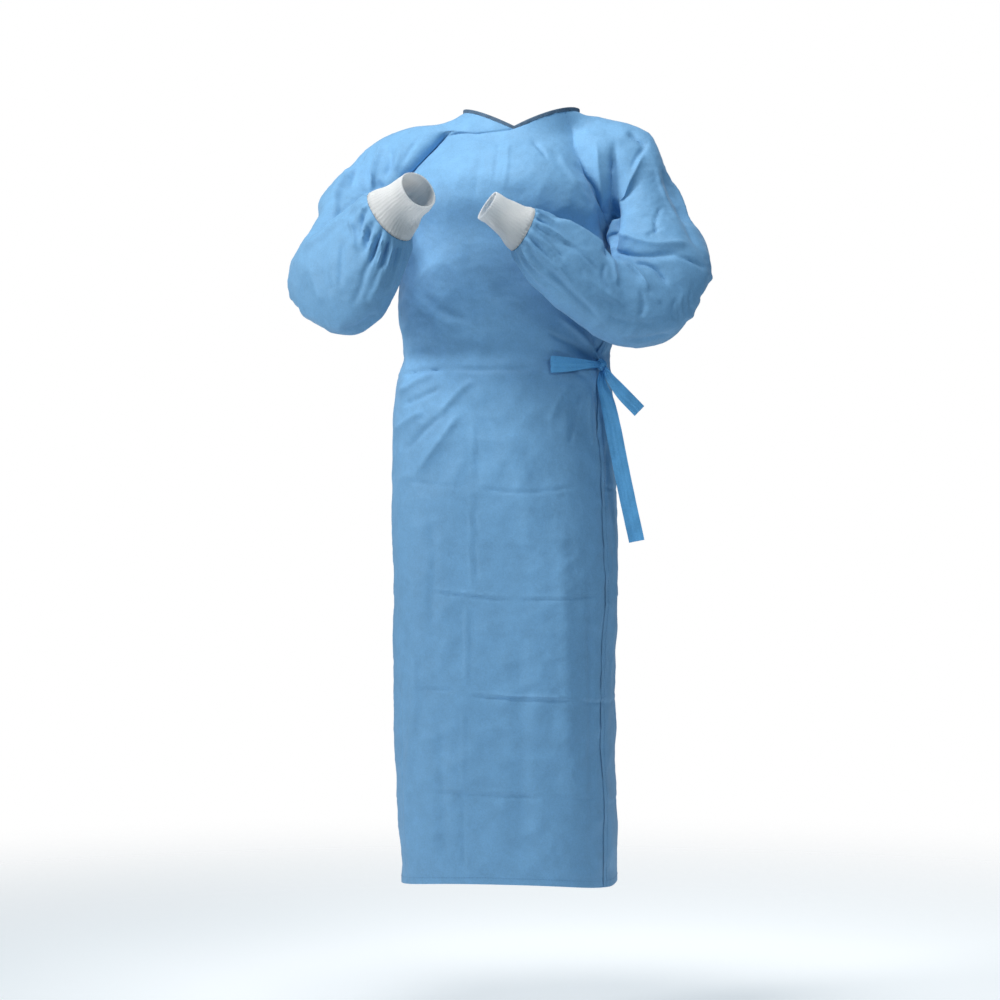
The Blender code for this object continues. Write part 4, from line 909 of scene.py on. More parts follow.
def cloth_levels():
    """Fine levels from the neck to the hem."""
    count = int(round((UNDERARM - HEM) / LOWER_STEP))
    below = 1.0 + np.linspace(0.0, UNDERARM - HEM, count + 1)[1:]
    return np.concatenate([np.linspace(0.0, 1.0, YOKE_ROWS + 1), below])


def turned_edge(grid, normals, edge, width=HEM_TURN, lines=5):
    """Extra lines of a hem turned to the inside along one edge of a grid: bottom, first or last."""
    if edge != "bottom":
        grid, normals = np.swapaxes(grid, 0, 1), np.swapaxes(normals, 0, 1)
    if edge == "first":
        grid, normals = grid[::-1], normals[::-1]
    _, _, _, from_edge = edge_distance(grid)
    share = np.linspace(0.0, 1.0, lines)[1:]
    extra = []
    for part in share:
        index = np.abs(from_edge - part * width).argmin(axis=0)
        columns = np.arange(grid.shape[1])
        depth = HEM_DEPTH * min(1.0, part * 4)
        extra.append(grid[index, columns] - normals[index, columns] * depth)
    grid = np.concatenate([grid, np.array(extra)], axis=0)
    normals = np.concatenate([normals, np.repeat(normals[-1:], len(extra), axis=0)], axis=0)
    if edge == "first":
        grid, normals = grid[::-1], normals[::-1]
    if edge != "bottom":
        grid, normals = np.swapaxes(grid, 0, 1), np.swapaxes(normals, 0, 1)
    return grid, normals


def add_mesh(name, points, quads, finish, uv=None):
    """A smooth mesh object from arrays of points and four-sided faces."""
    mesh = bpy.data.meshes.new(name)
    mesh.vertices.add(len(points))
    mesh.vertices.foreach_set("co", np.asarray(points, dtype=np.float32).ravel())
    mesh.loops.add(len(quads) * 4)
    mesh.polygons.add(len(quads))
    mesh.loops.foreach_set("vertex_index", np.asarray(quads, dtype=np.int32).ravel())
    mesh.polygons.foreach_set("loop_start", np.arange(0, len(quads) * 4, 4, dtype=np.int32))
    mesh.update(calc_edges=True)
    if uv is not None:
        layer = mesh.uv_layers.new(name="cloth")
        layer.data.foreach_set("uv", np.asarray(uv, dtype=np.float32)[np.asarray(quads).ravel()].ravel())
    mesh.validate()
    mesh.shade_smooth()
    mesh.set_sharp_from_angle(angle=SHARP_ANGLE)
    made = bpy.data.objects.new(name, mesh)
    bpy.context.scene.collection.objects.link(made)
    mesh.materials.append(finish)
    return made


def grid_quads(rows, columns, closed=False):
    """Faces of a grid; a closed one joins its last column to its first."""
    faces_across = columns if closed else columns - 1
    row, column = np.meshgrid(np.arange(rows - 1), np.arange(faces_across), indexing="ij")
    here = row * columns + column
    beside = row * columns + (column + 1) % columns
    return np.stack([here, here + columns, beside + columns, beside], axis=-1).reshape(-1, 4)


def add_cloth(name, grid, finish, flip=False):
    """A piece of cloth from its grid, with its lengths in metres as texture coordinates."""
    along, _, down, _ = edge_distance(grid)
    quads = grid_quads(*grid.shape[:2])
    if flip:
        quads = quads[:, ::-1]
    uv = np.stack([along, down], axis=-1).reshape(-1, 2)
    return add_mesh(name, grid.reshape(-1, 3), quads, finish, uv)


def dress(piece, node):
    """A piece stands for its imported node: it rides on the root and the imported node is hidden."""
    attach(piece, "root")
    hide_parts(node)
    return piece


def stitch_row(name, line, normals, finish, slot, length=0.0030, gap=0.0012, radius=0.00028):
    """A row of short thread stitches on the cloth along a line."""
    steps = np.linalg.norm(np.diff(line, axis=0), axis=1)
    at = np.concatenate(([0.0], np.cumsum(steps)))
    starts = np.arange(gap, at[-1] - length, length + gap)
    share = np.array([0.0, 0.12, 0.5, 0.88, 1.0])
    rise = np.array([-0.2, 0.7, 1.1, 0.7, -0.2]) * radius
    thick = np.array([0.35, 0.85, 1.0, 0.85, 0.35]) * radius
    turn = np.arange(6) * math.pi / 3
    points = []
    for start in starts:
        where = start + share * length
        middle = np.stack([np.interp(where, at, line[:, k]) for k in range(3)], axis=-1)
        normal = unit(np.stack([np.interp(where, at, normals[:, k]) for k in range(3)], axis=-1))
        ahead = unit(np.gradient(middle, axis=0))
        side = unit(np.cross(ahead, normal))
        middle = middle + normal * rise[:, None]
        ring = side[:, None, :] * np.cos(turn)[None, :, None]
        ring = ring + normal[:, None, :] * np.sin(turn)[None, :, None]
        points.append(middle[:, None, :] + ring * thick[:, None, None])
    points = np.array(points)
    quads = grid_quads(5, 6, closed=True)
    caps = np.array([[3, 2, 1, 0], [5, 4, 3, 0], [24, 25, 26, 27], [24, 27, 28, 29]])
    one = np.concatenate([quads, caps])
    every = (one[None] + np.arange(len(points))[:, None, None] * 30).reshape(-1, 4)
    made = add_mesh(name, points.reshape(-1, 3), every, finish)
    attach(made, "root")
    return made


def node(tree, kind, place, **values):
    """A shader node with its settings and input values."""
    made = tree.nodes.new(kind)
    made.location = place
    for key, value in values.items():
        if key.startswith("in_"):
            made.inputs[int(key[3:])].default_value = value
        else:
            setattr(made, key, value)
    return made


def calculate(tree, operation, place, first, second=None, clamp=False):
    """A maths node fed by sockets or numbers."""
    made = node(tree, "ShaderNodeMath", place, operation=operation, use_clamp=clamp)
    for slot_number, value in enumerate((first, second)):
        if value is None:
            continue
        if isinstance(value, (int, float)):
            made.inputs[slot_number].default_value = value
        else:
            tree.links.new(value, made.inputs[slot_number])
    return made.outputs[0]


def start_material(name, colour, roughness, sheen):
    """A material with its shader's steady values set."""
    made = bpy.data.materials.new(name)
    made.use_nodes = True
    made.diffuse_color = (*colour, 1.0)
    tree = made.node_tree
    shader = tree.nodes["Principled BSDF"]
    shader.inputs["Base Color"].default_value = (*colour, 1.0)
    shader.inputs["Roughness"].default_value = roughness
    shader.inputs["Sheen Weight"].default_value = sheen
    shader.inputs["Sheen Roughness"].default_value = 0.45
    shader.inputs["Specular IOR Level"].default_value = 0.35
    return made, tree, shader


def tinted(tree, colour, darker, lighter, sockets):
    """The base colour varied between a darker and a lighter tone by the mean of some grey sockets."""
    total = sockets[0]
    for extra in sockets[1:]:
        total = calculate(tree, "ADD", (-500, 200), total, extra)
    mean = calculate(tree, "DIVIDE", (-400, 200), total, float(len(sockets)))
    ramp = node(tree, "ShaderNodeValToRGB", (-300, 200))
    ramp.color_ramp.elements[0].position = 0.30
    ramp.color_ramp.elements[1].position = 0.70
    ramp.color_ramp.elements[0].color = (*[c * darker for c in colour], 1.0)
    ramp.color_ramp.elements[1].color = (*[min(1.0, c * lighter) for c in colour], 1.0)
    tree.links.new(mean, ramp.inputs[0])
    return ramp.outputs[0]


def add_bumps(tree, shader, layers):
    """Bumps stacked on each other: height socket and height in metres for each."""
    before = None
    for number, (height, size) in enumerate(layers):
        bump = node(tree, "ShaderNodeBump", (-300, -200 - 160 * number))
        bump.inputs["Strength"].default_value = 1.0
        bump.inputs["Distance"].default_value = size
        tree.links.new(height, bump.inputs["Height"])
        if before is not None:
            tree.links.new(before, bump.inputs["Normal"])
        before = bump.outputs[0]
    tree.links.new(before, shader.inputs["Normal"])


def noise(tree, place, vector, scale, detail=3.0, kind="FBM", roughness=0.5, distortion=0.0):
    """A noise texture's grey value."""
    made = node(tree, "ShaderNodeTexNoise", place, noise_dimensions="3D", noise_type=kind)
    made.inputs["Scale"].default_value = scale
    made.inputs["Detail"].default_value = detail
    made.inputs["Roughness"].default_value = roughness
    made.inputs["Distortion"].default_value = distortion
    tree.links.new(vector, made.inputs["Vector"])
    return made.outputs[0]


def cloth_material(name, colour, bond_step, crumple):
    """Light nonwoven cloth: matt, with bond points, loose fibres, soft blotches and small crumples."""
    made, tree, shader = start_material(name, colour, 0.66, 0.12)
    place = node(tree, "ShaderNodeTexCoord", (-1300, 0))
    blotch = noise(tree, (-1000, 300), place.outputs["Object"], 38.0, 6.0, roughness=0.62)
    fibre = noise(tree, (-1000, 120), place.outputs["Object"], 420.0, 2.0, roughness=0.7)
    tint = tinted(tree, colour, 0.84, 1.14, [blotch, fibre])
    tree.links.new(tint, shader.inputs["Base Color"])
    spread = noise(tree, (-1000, -40), place.outputs["Object"], 60.0, 3.0)
    rough = calculate(tree, "MULTIPLY_ADD", (-700, -40), spread, 0.16)
    rough.node.inputs[2].default_value = 0.57
    tree.links.new(rough, shader.inputs["Roughness"])
    flat = node(tree, "ShaderNodeSeparateXYZ", (-1100, -400))
    tree.links.new(place.outputs["UV"], flat.inputs[0])
    turn = math.pi / bond_step
    first = calculate(tree, "ADD", (-1000, -360), flat.outputs[0], flat.outputs[1])
    second = calculate(tree, "SUBTRACT", (-1000, -460), flat.outputs[0], flat.outputs[1])
    first = calculate(tree, "SINE", (-800, -360), calculate(tree, "MULTIPLY", (-900, -360), first, turn))
    second = calculate(tree, "SINE", (-800, -460), calculate(tree, "MULTIPLY", (-900, -460), second, turn))
    dots = calculate(tree, "MULTIPLY", (-700, -400), first, second)
    dots = calculate(tree, "ABSOLUTE", (-600, -400), dots)
    wrinkle = noise(tree, (-1000, -600), place.outputs["Object"], 34.0, 5.0, "RIDGED_MULTIFRACTAL", 0.55)
    fine = noise(tree, (-1000, -800), place.outputs["Object"], 150.0, 4.0, roughness=0.6)
    bumps = [(wrinkle, 0.00035 * crumple), (fine, 0.00040 * crumple), (dots, 0.00004), (fibre, 0.00006)]
    add_bumps(tree, shader, bumps)
    return made


def knit_material(name, colour, wale, course):
    """Ribbed cotton knit: chevron loops along each rib, soft and matt, with painted shade that darkens the
    hollows between the loops and lightens their crests.
    """
    made, tree, shader = start_material(name, colour, 0.88, 0.25)
    shader.inputs["Subsurface Weight"].default_value = 0.9
    shader.inputs["Subsurface Radius"].default_value = (1.0, 1.0, 1.0)
    shader.inputs["Subsurface Scale"].default_value = 0.012
    place = node(tree, "ShaderNodeTexCoord", (-1500, 0))
    flat = node(tree, "ShaderNodeSeparateXYZ", (-1300, -300))
    tree.links.new(place.outputs["UV"], flat.inputs[0])
    across = calculate(tree, "MULTIPLY", (-1150, -250), flat.outputs[0], 1.0 / wale)
    across = calculate(tree, "PINGPONG", (-1000, -250), across, 0.5)
    down = calculate(tree, "MULTIPLY", (-1150, -400), flat.outputs[1], 1.0 / course)
    slant = calculate(tree, "MULTIPLY", (-900, -250), across, 1.2)
    phase = calculate(tree, "ADD", (-800, -300), down, slant)
    angle = calculate(tree, "MULTIPLY", (-700, -300), phase, 2 * math.pi)
    loops = calculate(tree, "SINE", (-600, -300), angle)
    hollow = calculate(tree, "MULTIPLY", (-800, -450), across, 2.0)
    height = calculate(tree, "MULTIPLY_ADD", (-450, -350), loops, 0.5)
    tree.links.new(hollow, height.node.inputs[2])
    fuzz = noise(tree, (-1000, -700), place.outputs["Object"], 700.0, 3.0, roughness=0.7)
    blotch = noise(tree, (-1000, 200), place.outputs["Object"], 45.0, 3.0)
    # Painted shade: the white knit is darker where the loops dip and lighter on their crests, following the
    # loop relief.
    painted_loop_shade = calculate(tree, "MULTIPLY_ADD", (-600, 100), loops, 0.12)
    painted_loop_shade.node.inputs[2].default_value = 0.5
    tree.links.new(tinted(tree, colour, 0.86, 1.05, [blotch, fuzz, painted_loop_shade]), shader.inputs["Base Color"])
    add_bumps(tree, shader, [(height, 0.00030), (fuzz, 0.00012)])
    return made


def tape_material(name, colour):
    """Binding tape: fine plain weave, slightly smoother than the gown."""
    made, tree, shader = start_material(name, colour, 0.6, 0.1)
    place = node(tree, "ShaderNodeTexCoord", (-1300, 0))
    flat = node(tree, "ShaderNodeSeparateXYZ", (-1100, -300))
    tree.links.new(place.outputs["UV"], flat.inputs[0])
    across = calculate(tree, "MULTIPLY", (-900, -250), flat.outputs[0], THREADS_TURN)
    warp = calculate(tree, "SINE", (-800, -250), across)
    along = calculate(tree, "MULTIPLY", (-900, -400), flat.outputs[1], THREADS_TURN)
    weft = calculate(tree, "SINE", (-800, -400), along)
    weave = calculate(tree, "MULTIPLY", (-650, -320), warp, weft)
    blotch = noise(tree, (-1000, 200), place.outputs["Object"], 60.0, 4.0)
    tree.links.new(tinted(tree, colour, 0.75, 1.35, [blotch]), shader.inputs["Base Color"])
    add_bumps(tree, shader, [(weave, 0.00005), (blotch, 0.0002)])
    return made


def thread_material(name, colour):
    """Sewing thread."""
    made, tree, shader = start_material(name, colour, 0.5, 0.2)
    place = node(tree, "ShaderNodeTexCoord", (-1000, 0))
    twist = noise(tree, (-800, 0), place.outputs["Object"], 1800.0, 2.0)
    tree.links.new(tinted(tree, colour, 0.8, 1.15, [twist]), shader.inputs["Base Color"])
    return made


def finish_named(name):
    """A material made before, or made now."""
    made = bpy.data.materials.get(name)
    if made is not None:
        return made
    settings = bpy.context.scene.gown_looks
    if name == "gown_cloth":
        return cloth_material(name, tuple(settings.cloth_colour), settings.bond_step, settings.crumple)
    if name == "tie_cloth":
        return cloth_material(name, tuple(settings.tie_colour), settings.bond_step, settings.crumple * 0.6)
    if name == "cuff_knit":
        return knit_material(name, tuple(settings.knit_colour), settings.wale, settings.course)
    if name == "neck_tape":
        return tape_material(name, tuple(settings.binding_colour))
    return thread_material("sewing_thread", tuple(settings.thread_colour))


BODY_FOLDS = {"front": FRONT_FOLDS, "back": BACK_FOLDS, "left": LEFT_SIDE_FOLDS, "right": RIGHT_SIDE_FOLDS}
SLEEVE_FOLD_TABLES = {
    -1: {"front": RIGHT_SLEEVE_FOLDS, "back": RIGHT_SLEEVE_BACK_FOLDS, "right": RIGHT_SLEEVE_SIDE_FOLDS},
    1: {"front": LEFT_SLEEVE_FOLDS, "back": LEFT_SLEEVE_BACK_FOLDS, "left": LEFT_SLEEVE_SIDE_FOLDS},
}


def body_lift(grid, normals):
    """Folds and crumples of the body, the same for every panel that lies there."""
    strength = bpy.context.scene.gown_looks.fold_depth
    quiet = smooth((HEM - grid[..., 2]) / -0.03)
    lift = folds_lift(grid, normals, BODY_FOLDS, strength) + crumple_lift(grid)
    near_neck = smooth(np.linalg.norm(grid - neck_middle(), axis=-1) / 0.02 - 4.6)
    return lift * quiet * near_neck


def neck_middle():
    """Middle of the neck opening."""
    return np.array([NECK_MIDDLE, NECK_SEAT, 0.0])


def without_ridge(grid):
    """The body's cloth runs smoothly past the underarm level between its seams."""
    rows = np.arange(len(grid))
    first, last, _, _ = edge_distance(grid)
    reach = np.exp(-(((rows - YOKE_ROWS) / 12.0) ** 2))[:, None] * smooth(np.minimum(first, last) / 0.06)
    weights = np.exp(-((np.arange(-14, 15) / 6.0) ** 2))
    weights /= weights.sum()
    padded = np.concatenate([np.repeat(grid[:1], 14, axis=0), grid, np.repeat(grid[-1:], 14, axis=0)])
    even = sum(weight * padded[k : k + len(grid)] for k, weight in enumerate(weights))
    return grid + (even - grid) * reach[..., None]


def sewn(one, other, rows, one_edge, other_edge):
    """Bring two sewn edges together, and ease the cloth beside them."""
    middle = (one[rows, one_edge] + other[rows, other_edge]) / 2
    for grid, edge in ((one, one_edge), (other, other_edge)):
        part = grid[rows]
        move = middle - part[:, edge]
        pull = np.exp(-((np.linalg.norm(part - part[:, edge][:, None], axis=-1) / SEAM_EASE) ** 2))
        part += move[:, None] * pull[..., None]


def cloth_grids():
    """Points and outward directions of the five cloth panels, folded and joined along their seams."""
    if GRIDS:
        return GRIDS
    levels = cloth_levels()
    strength = bpy.context.scene.gown_looks.fold_depth * SLEEVE_FOLD_SHARE
    panels = {
        "front": front_grid(levels, FRONT_COLUMNS),
        "under": under_grid(levels, UNDER_COLUMNS),
        "over": over_grid(levels, OVER_COLUMNS),
    }
    for name, base in panels.items():
        base = without_ridge(base)
        normals = grid_normals(base)
        first, last, _, _ = edge_distance(base)
        lift = body_lift(base, normals)
        if name != "over":
            lift += seam_lift(first)
        if name != "under":
            lift += seam_lift(last)
        if name == "over":
            lift -= (LAYER - EDGE_LIES) * (1 - smooth(first / EDGE_EASE))
        GRIDS[name] = base + normals * lift[..., None], normals
    sleeves = (("right", SLEEVE_RIGHT, -1, SHOULDER_RIGHT), ("left", SLEEVE_LEFT, 1, SHOULDER_LEFT))
    for name, table, hand, shoulder in sleeves:
        GRIDS[name] = sleeve_points(table, hand, shoulder, SLEEVE_FOLD_TABLES[hand], strength)
    yoke_rows, skirt_rows = slice(0, YOKE_ROWS + 1), slice(YOKE_ROWS, None)
    sewn(GRIDS["front"][0], GRIDS["right"][0], yoke_rows, 0, 0)
    sewn(GRIDS["front"][0], GRIDS["left"][0], yoke_rows, -1, 0)
    sewn(GRIDS["over"][0], GRIDS["right"][0], yoke_rows, -1, -1)
    sewn(GRIDS["under"][0], GRIDS["left"][0], yoke_rows, 0, -1)
    sewn(GRIDS["over"][0], GRIDS["front"][0], skirt_rows, -1, 0)
    return GRIDS


def front_piece():
    """Front panel, with its folds, seams and turned hem."""
    grid, normals = cloth_grids()["front"]
    hem = hem_line(grid, normals)
    turned, _ = turned_edge(grid, normals, "bottom")
    return add_cloth("front_panel_cloth", turned, finish_named("gown_cloth")), hem


def hem_line(grid, normals, above=HEM_TURN - 0.001):
    """Line of the hem's stitching on the outside, with the cloth's directions there."""
    _, _, _, from_hem = edge_distance(grid)
    index = np.abs(from_hem - above).argmin(axis=0)
    columns = np.arange(grid.shape[1])
    return grid[index, columns], normals[index, columns]


def under_piece():
    """Under back, mostly hidden by the over back."""
    turned, _ = turned_edge(*cloth_grids()["under"], "bottom")
    return add_cloth("back_under_cloth", turned, finish_named("gown_cloth"))


def over_piece():
    """Over back, with its free edge turned in and stitched at the wearer's left front."""
    grid, normals = cloth_grids()["over"]
    hem = hem_line(grid, normals)
    first, _, _, _ = edge_distance(grid)
    index = np.abs(first - EDGE_TURN + 0.001).argmin(axis=1)
    rows = np.arange(len(grid))
    edge = grid[rows, index], normals[rows, index]
    turned, normals = turned_edge(grid, normals, "bottom")
    turned, _ = turned_edge(turned, normals, "first", EDGE_TURN)
    return add_cloth("back_over_cloth", turned, finish_named("gown_cloth")), hem, edge


def cuff_gathers(turn, from_cuff, hand):
    """Uneven gathers where the sleeve is drawn in to the cuff."""
    depth = GATHER_DEPTH * smooth(from_cuff / 0.06 + 0.25) * (1 - smooth(from_cuff / GATHERS_FADE))
    lift = depth[:, None] * np.cos(GATHERS * turn + 0.5 * np.cos(3 * turn))
    chance = np.random.default_rng(31 + hand)
    for count in (23, 31, 37):
        reach = 0.10 + 0.08 * np.cos(turn * chance.integers(2, 5) + chance.uniform(0, 6))
        short = smooth(from_cuff[:, None] / 0.03) * (1 - smooth(from_cuff[:, None] / reach))
        size = 0.0011 * (1 + 0.8 * np.cos(turn * chance.integers(3, 7) + chance.uniform(0, 6)))
        lift = lift + size * short * np.cos(count * turn + chance.uniform(0, 6))
    return lift


def rounded_bend(grid, row):
    """Round off the bend of a sleeve's grid at one row, but not beside the underarm."""
    first, last, _, _ = edge_distance(grid)
    near = smooth((BEND_REACH - np.abs(np.arange(len(grid)) - row)) / (BEND_REACH * 0.4))[:, None]
    weight = (near * smooth(first / BEND_EASE) * smooth(last / BEND_EASE))[1:-1, :, None]
    for _ in range(BEND_ROUNDS):
        grid[1:-1] += weight * ((grid[:-2] + grid[2:]) / 2 - grid[1:-1]) / 2
    return grid


def sleeve_points(table, hand, shoulder, folds, strength):
    """Points and outward directions of one raglan sleeve, with its folds, gathers and seams."""
    base, at = sleeve_grid(table, hand, shoulder, YOKE_ROWS, TUBE_LINES, ROUND_LINES)
    base = rounded_bend(base, YOKE_ROWS)
    normals = grid_normals(base) * float(hand)
    normals[YOKE_ROWS:, 0] = normals[YOKE_ROWS:, -1] = unit(normals[YOKE_ROWS:, 0] + normals[YOKE_ROWS:, -1])
    lift = folds_lift(base, normals, folds, strength) + crumple_lift(base, 1.2)
    turn = np.linspace(0.0, 2 * math.pi, base.shape[1])[None, :]
    first, last, _, bottom = edge_distance(base)
    lift *= smooth(bottom / 0.012) * smooth(np.linalg.norm(base - neck_middle(), axis=-1) / 0.02 - 4.6)
    lift[YOKE_ROWS:] += cuff_gathers(turn, 1.0 - at, hand)
    lift[:YOKE_ROWS] += seam_lift(first)[:YOKE_ROWS] + seam_lift(last)[:YOKE_ROWS]
    lift += seam_lift(bottom)
    grid = base + normals * lift[..., None]
    grid[YOKE_ROWS:, 0] = grid[YOKE_ROWS:, -1] = (grid[YOKE_ROWS:, 0] + grid[YOKE_ROWS:, -1]) / 2
    return grid, normals


def cuff_piece(name, table, hand, end):
    """One knitted cuff: a ribbed tube with its edge turned in at the wrist."""
    around = CUFF_RIBS * 6
    rows = 34
    coarse, middles = cuff_rings(table, hand, end, around)
    share = np.linspace(0.0, 1.0, rows)
    knots = np.asarray(CUFF_PROFILE)[:, 0]
    rings = spline(knots, coarse.reshape(len(knots), -1), share).reshape(rows, around, 3)
    centre = spline(knots, middles, share)
    outward = unit(rings - centre[:, None, :])
    turn = np.arange(around) / around * 2 * math.pi
    rib = RIB_HEIGHT * (0.5 + 0.5 * np.cos(CUFF_RIBS * turn)) ** 0.8
    slack = 0.0009 * ripples(rings, 41, 0.045) * smooth(share / 0.3)[:, None]
    slack = slack * smooth((1 - share) / 0.2)[:, None]
    draw = -0.0012 * np.exp(-((share - 0.02) / 0.04) ** 2)[:, None]
    outer = rings + outward * (rib[None, :] + slack + draw)[..., None]
    axis = unit(centre[-1] - centre[-2])
    wall = KNIT_WALL * 0.9
    lip = []
    for angle in (0.5, 1.0, 1.5, 2.0, 2.6):
        bend = -outward[-1] * (1 - math.cos(angle)) + axis * math.sin(angle)
        lip.append(outer[-1] + bend * wall * 0.5)
    inner = rings - outward * (wall - slack + 0.6 * rib[None, :])[..., None]
    grid = np.concatenate([outer, np.array(lip), inner[::-1]], axis=0)
    quads = grid_quads(grid.shape[0], around, closed=True)
    if hand < 0:
        quads = quads[:, ::-1]
    down = np.concatenate(([0.0], np.cumsum(np.linalg.norm(np.diff(grid[:, 0], axis=0), axis=1))))
    radius = np.linalg.norm(rings[rows // 2] - centre[rows // 2], axis=1).mean()
    uv = np.stack(np.broadcast_arrays(turn[None, :] * radius, down[:, None]), axis=-1)
    return add_mesh(name, grid.reshape(-1, 3), quads, finish_named("cuff_knit"), uv.reshape(-1, 2))


def binding_piece():
    """Neck tape folded over the edge, from its under end round to its over end."""
    corners = binding_rings(420)
    out = unit(corners[:, 0] - corners[:, 5])
    low = (corners[:, 0] + corners[:, 5]) / 2 + out * TAPE_OUT - np.array([0.0, 0.0, TAPE_DOWN])
    high = (corners[:, 2] + corners[:, 3]) / 2 + out * TAPE_OUT
    middle = (low + high) / 2
    turn = np.radians(np.linspace(-75.0, 255.0, 18))
    half_height = (np.linalg.norm(high - low, axis=1) / 2)[:, None, None]
    across = np.sign(np.cos(turn)) * np.abs(np.cos(turn)) ** 0.6 * BINDING_THICK / 2
    rise = np.sign(np.sin(turn)) * np.abs(np.sin(turn)) ** 0.6
    wave = 0.00025 * ripples(middle, 51, 0.012)[:, None, None]
    belly = 1.0 + 0.25 * np.maximum(np.sin(turn), 0.0)[None, :, None]
    ring = middle[:, None, :] + out[:, None, :] * (across[None, :, None] * belly + wave)
    ring = ring + np.array([0.0, 0.0, 1.0]) * rise[None, :, None] * half_height
    along = np.concatenate(([0.0], np.cumsum(np.linalg.norm(np.diff(middle, axis=0), axis=1))))
    uv = np.stack(np.broadcast_arrays(along[:, None], turn[None, :] * 0.0025), axis=-1)
    made = add_mesh("neck_binding_tape", ring.reshape(-1, 3), grid_quads(len(ring), 18)[:, ::-1],
                    finish_named("neck_tape"), uv.reshape(-1, 2))
    line = low + np.array([0.0, 0.0, 0.0013]) + out * (BINDING_THICK / 2 - 0.0001)
    return made, (line, out)


def ribbon_piece(name, middle, across, width, pleat_from, thick=0.0011):
    """A tie of folded cloth: flat with soft edges, drawn into pleats towards the knot."""
    columns = 16
    share = np.linspace(-0.5, 0.5, columns)
    ahead = unit(np.gradient(middle, axis=0))
    normal = unit(np.cross(across, ahead))
    steps = np.linalg.norm(np.diff(middle, axis=0), axis=1)
    along = np.concatenate(([0.0], np.cumsum(steps)))
    near = np.exp(-along / 0.018)
    if pleat_from == "both":
        near = near + np.exp(-(along[-1] - along) / 0.018)
    pleats = 0.0011 * np.cos(share * 6 * math.pi + 0.6)[None, :] * near[:, None]
    crease = -0.0005 * np.exp(-((share - 0.04) / 0.05) ** 2)[None, :]
    border = 0.0004 * np.exp(-((np.abs(share) - 0.44) / 0.06) ** 2)[None, :]
    drift = 0.10 * np.cos(along / 0.03)[:, None]
    long_fold = 0.0006 * np.exp(-((share[None, :] + 0.22 + drift) / 0.07) ** 2)
    sheet = middle[:, None, :] + across[:, None, :] * (width[:, None] * share)[..., None]
    wave = 0.0005 * ripples(sheet, 61, 0.03)
    sheet = sheet + normal[:, None, :] * (pleats + crease + border + long_fold + wave)[..., None]
    edge = np.sqrt(np.clip(1 - (2 * np.abs(share)) ** 8, 0.05, 1.0))[None, :, None]
    front = sheet + normal[:, None, :] * thick / 2 * edge
    back = sheet - normal[:, None, :] * thick / 2 * edge
    ring = np.concatenate([front, back[:, ::-1]], axis=1)
    around = ring.shape[1]
    quads = grid_quads(len(ring), around, closed=True)
    caps = []
    for row in (0, len(ring) - 1):
        start = row * around
        for column in range(columns - 1):
            across = start + around - 1 - column
            face = [start + column, start + column + 1, across - 1, across]
            caps.append(face if row == 0 else face[::-1])
    uv = np.stack(np.broadcast_arrays(np.arange(around)[None, :] * 0.0015, along[:, None]), axis=-1)
    faces = np.concatenate([quads, caps])
    made = add_mesh(name, ring.reshape(-1, 3), faces, finish_named("tie_cloth"), uv.reshape(-1, 2))
    rows = []
    for place in (0.09, 0.91):
        column = int(round(place * (columns - 1)))
        rows.append((front[:, column], normal))
    return made, rows


def tie_rows(table, leaves, count):
    """Middle line, direction across and width of a free end of the tie."""
    first = np.concatenate([beside_knot(leaves[:3]), leaves[3:]])
    table = np.vstack([first, np.asarray(table)])
    steps = np.linalg.norm(np.diff(table[:, 0:3], axis=0), axis=1)
    knots = np.concatenate(([0.0], np.cumsum(steps)))
    rows = spline(knots, table, np.linspace(0.0, knots[-1], count))
    across = unit(np.stack([rows[:, 4], np.zeros(len(rows)), rows[:, 5]], axis=-1))
    return rows[:, 0:3], across, rows[:, 3]


def loop_rows(count):
    """Middle line, direction across and width of the tie's loop."""
    table = np.asarray(LOOP)
    rows = spline(np.linspace(0.0, 1.0, len(table)), table, np.linspace(0.0, 1.0, count))
    across = np.tile([0.0, 0.0, 1.0], (count, 1))
    return outside_body(rows[:, 0], rows[:, 1], rows[:, 2]), across, rows[:, 3]


def knot_piece():
    """The knot: one turn of the tie drawn tight over the others."""
    rows, columns = 72, 96
    polar = np.linspace(0.02, math.pi - 0.02, rows)[:, None]
    turn = (np.arange(columns) / columns * 2 * math.pi)[None, :]
    parts = (np.sin(polar) * np.cos(turn), np.sin(polar) * np.sin(turn), np.cos(polar))
    ball = np.stack(np.broadcast_arrays(*parts), axis=-1)
    size = np.ones(ball.shape[:2])
    bands = (
        ((0.75, -0.25, 0.55), 0.34, 0.20),
        ((-0.35, 0.30, 0.90), 0.26, 0.12),
        ((0.10, 0.20, -0.60), 0.16, 0.06),
    )
    for direction, half, height in bands:
        away = np.abs(ball @ unit(np.array(direction)))
        size += height * (1 - smooth((away - half) / 0.12))
        size += 0.02 * np.cos(away / half * 9.0) * (away < half)
    centre = knot_place()
    out_turn = math.radians(KNOT_ANGLE)
    ahead = np.array([math.cos(out_turn), math.sin(out_turn), 0.0])
    aside = np.array([-math.sin(out_turn), math.cos(out_turn), 0.0])
    local = ball * size[..., None] * np.array(KNOT_HALF_SIZES)
    upward = np.array([0.0, 0.0, 1.0])
    points = centre + local[..., 0:1] * ahead + local[..., 1:2] * aside + local[..., 2:3] * upward
    quads = grid_quads(rows, columns, closed=True)
    uv = np.stack(np.broadcast_arrays(turn * 0.008, polar * 0.008), axis=-1).reshape(-1, 2)
    last = (rows - 1) * columns
    caps = np.array([[k, k + 1, columns - 2 - k, columns - 1 - k] for k in range(columns // 2 - 1)])
    quads = np.concatenate([quads, caps, caps[:, ::-1] + last])
    return add_mesh("tie_knot_cloth", points.reshape(-1, 3), quads, finish_named("tie_cloth"), uv)


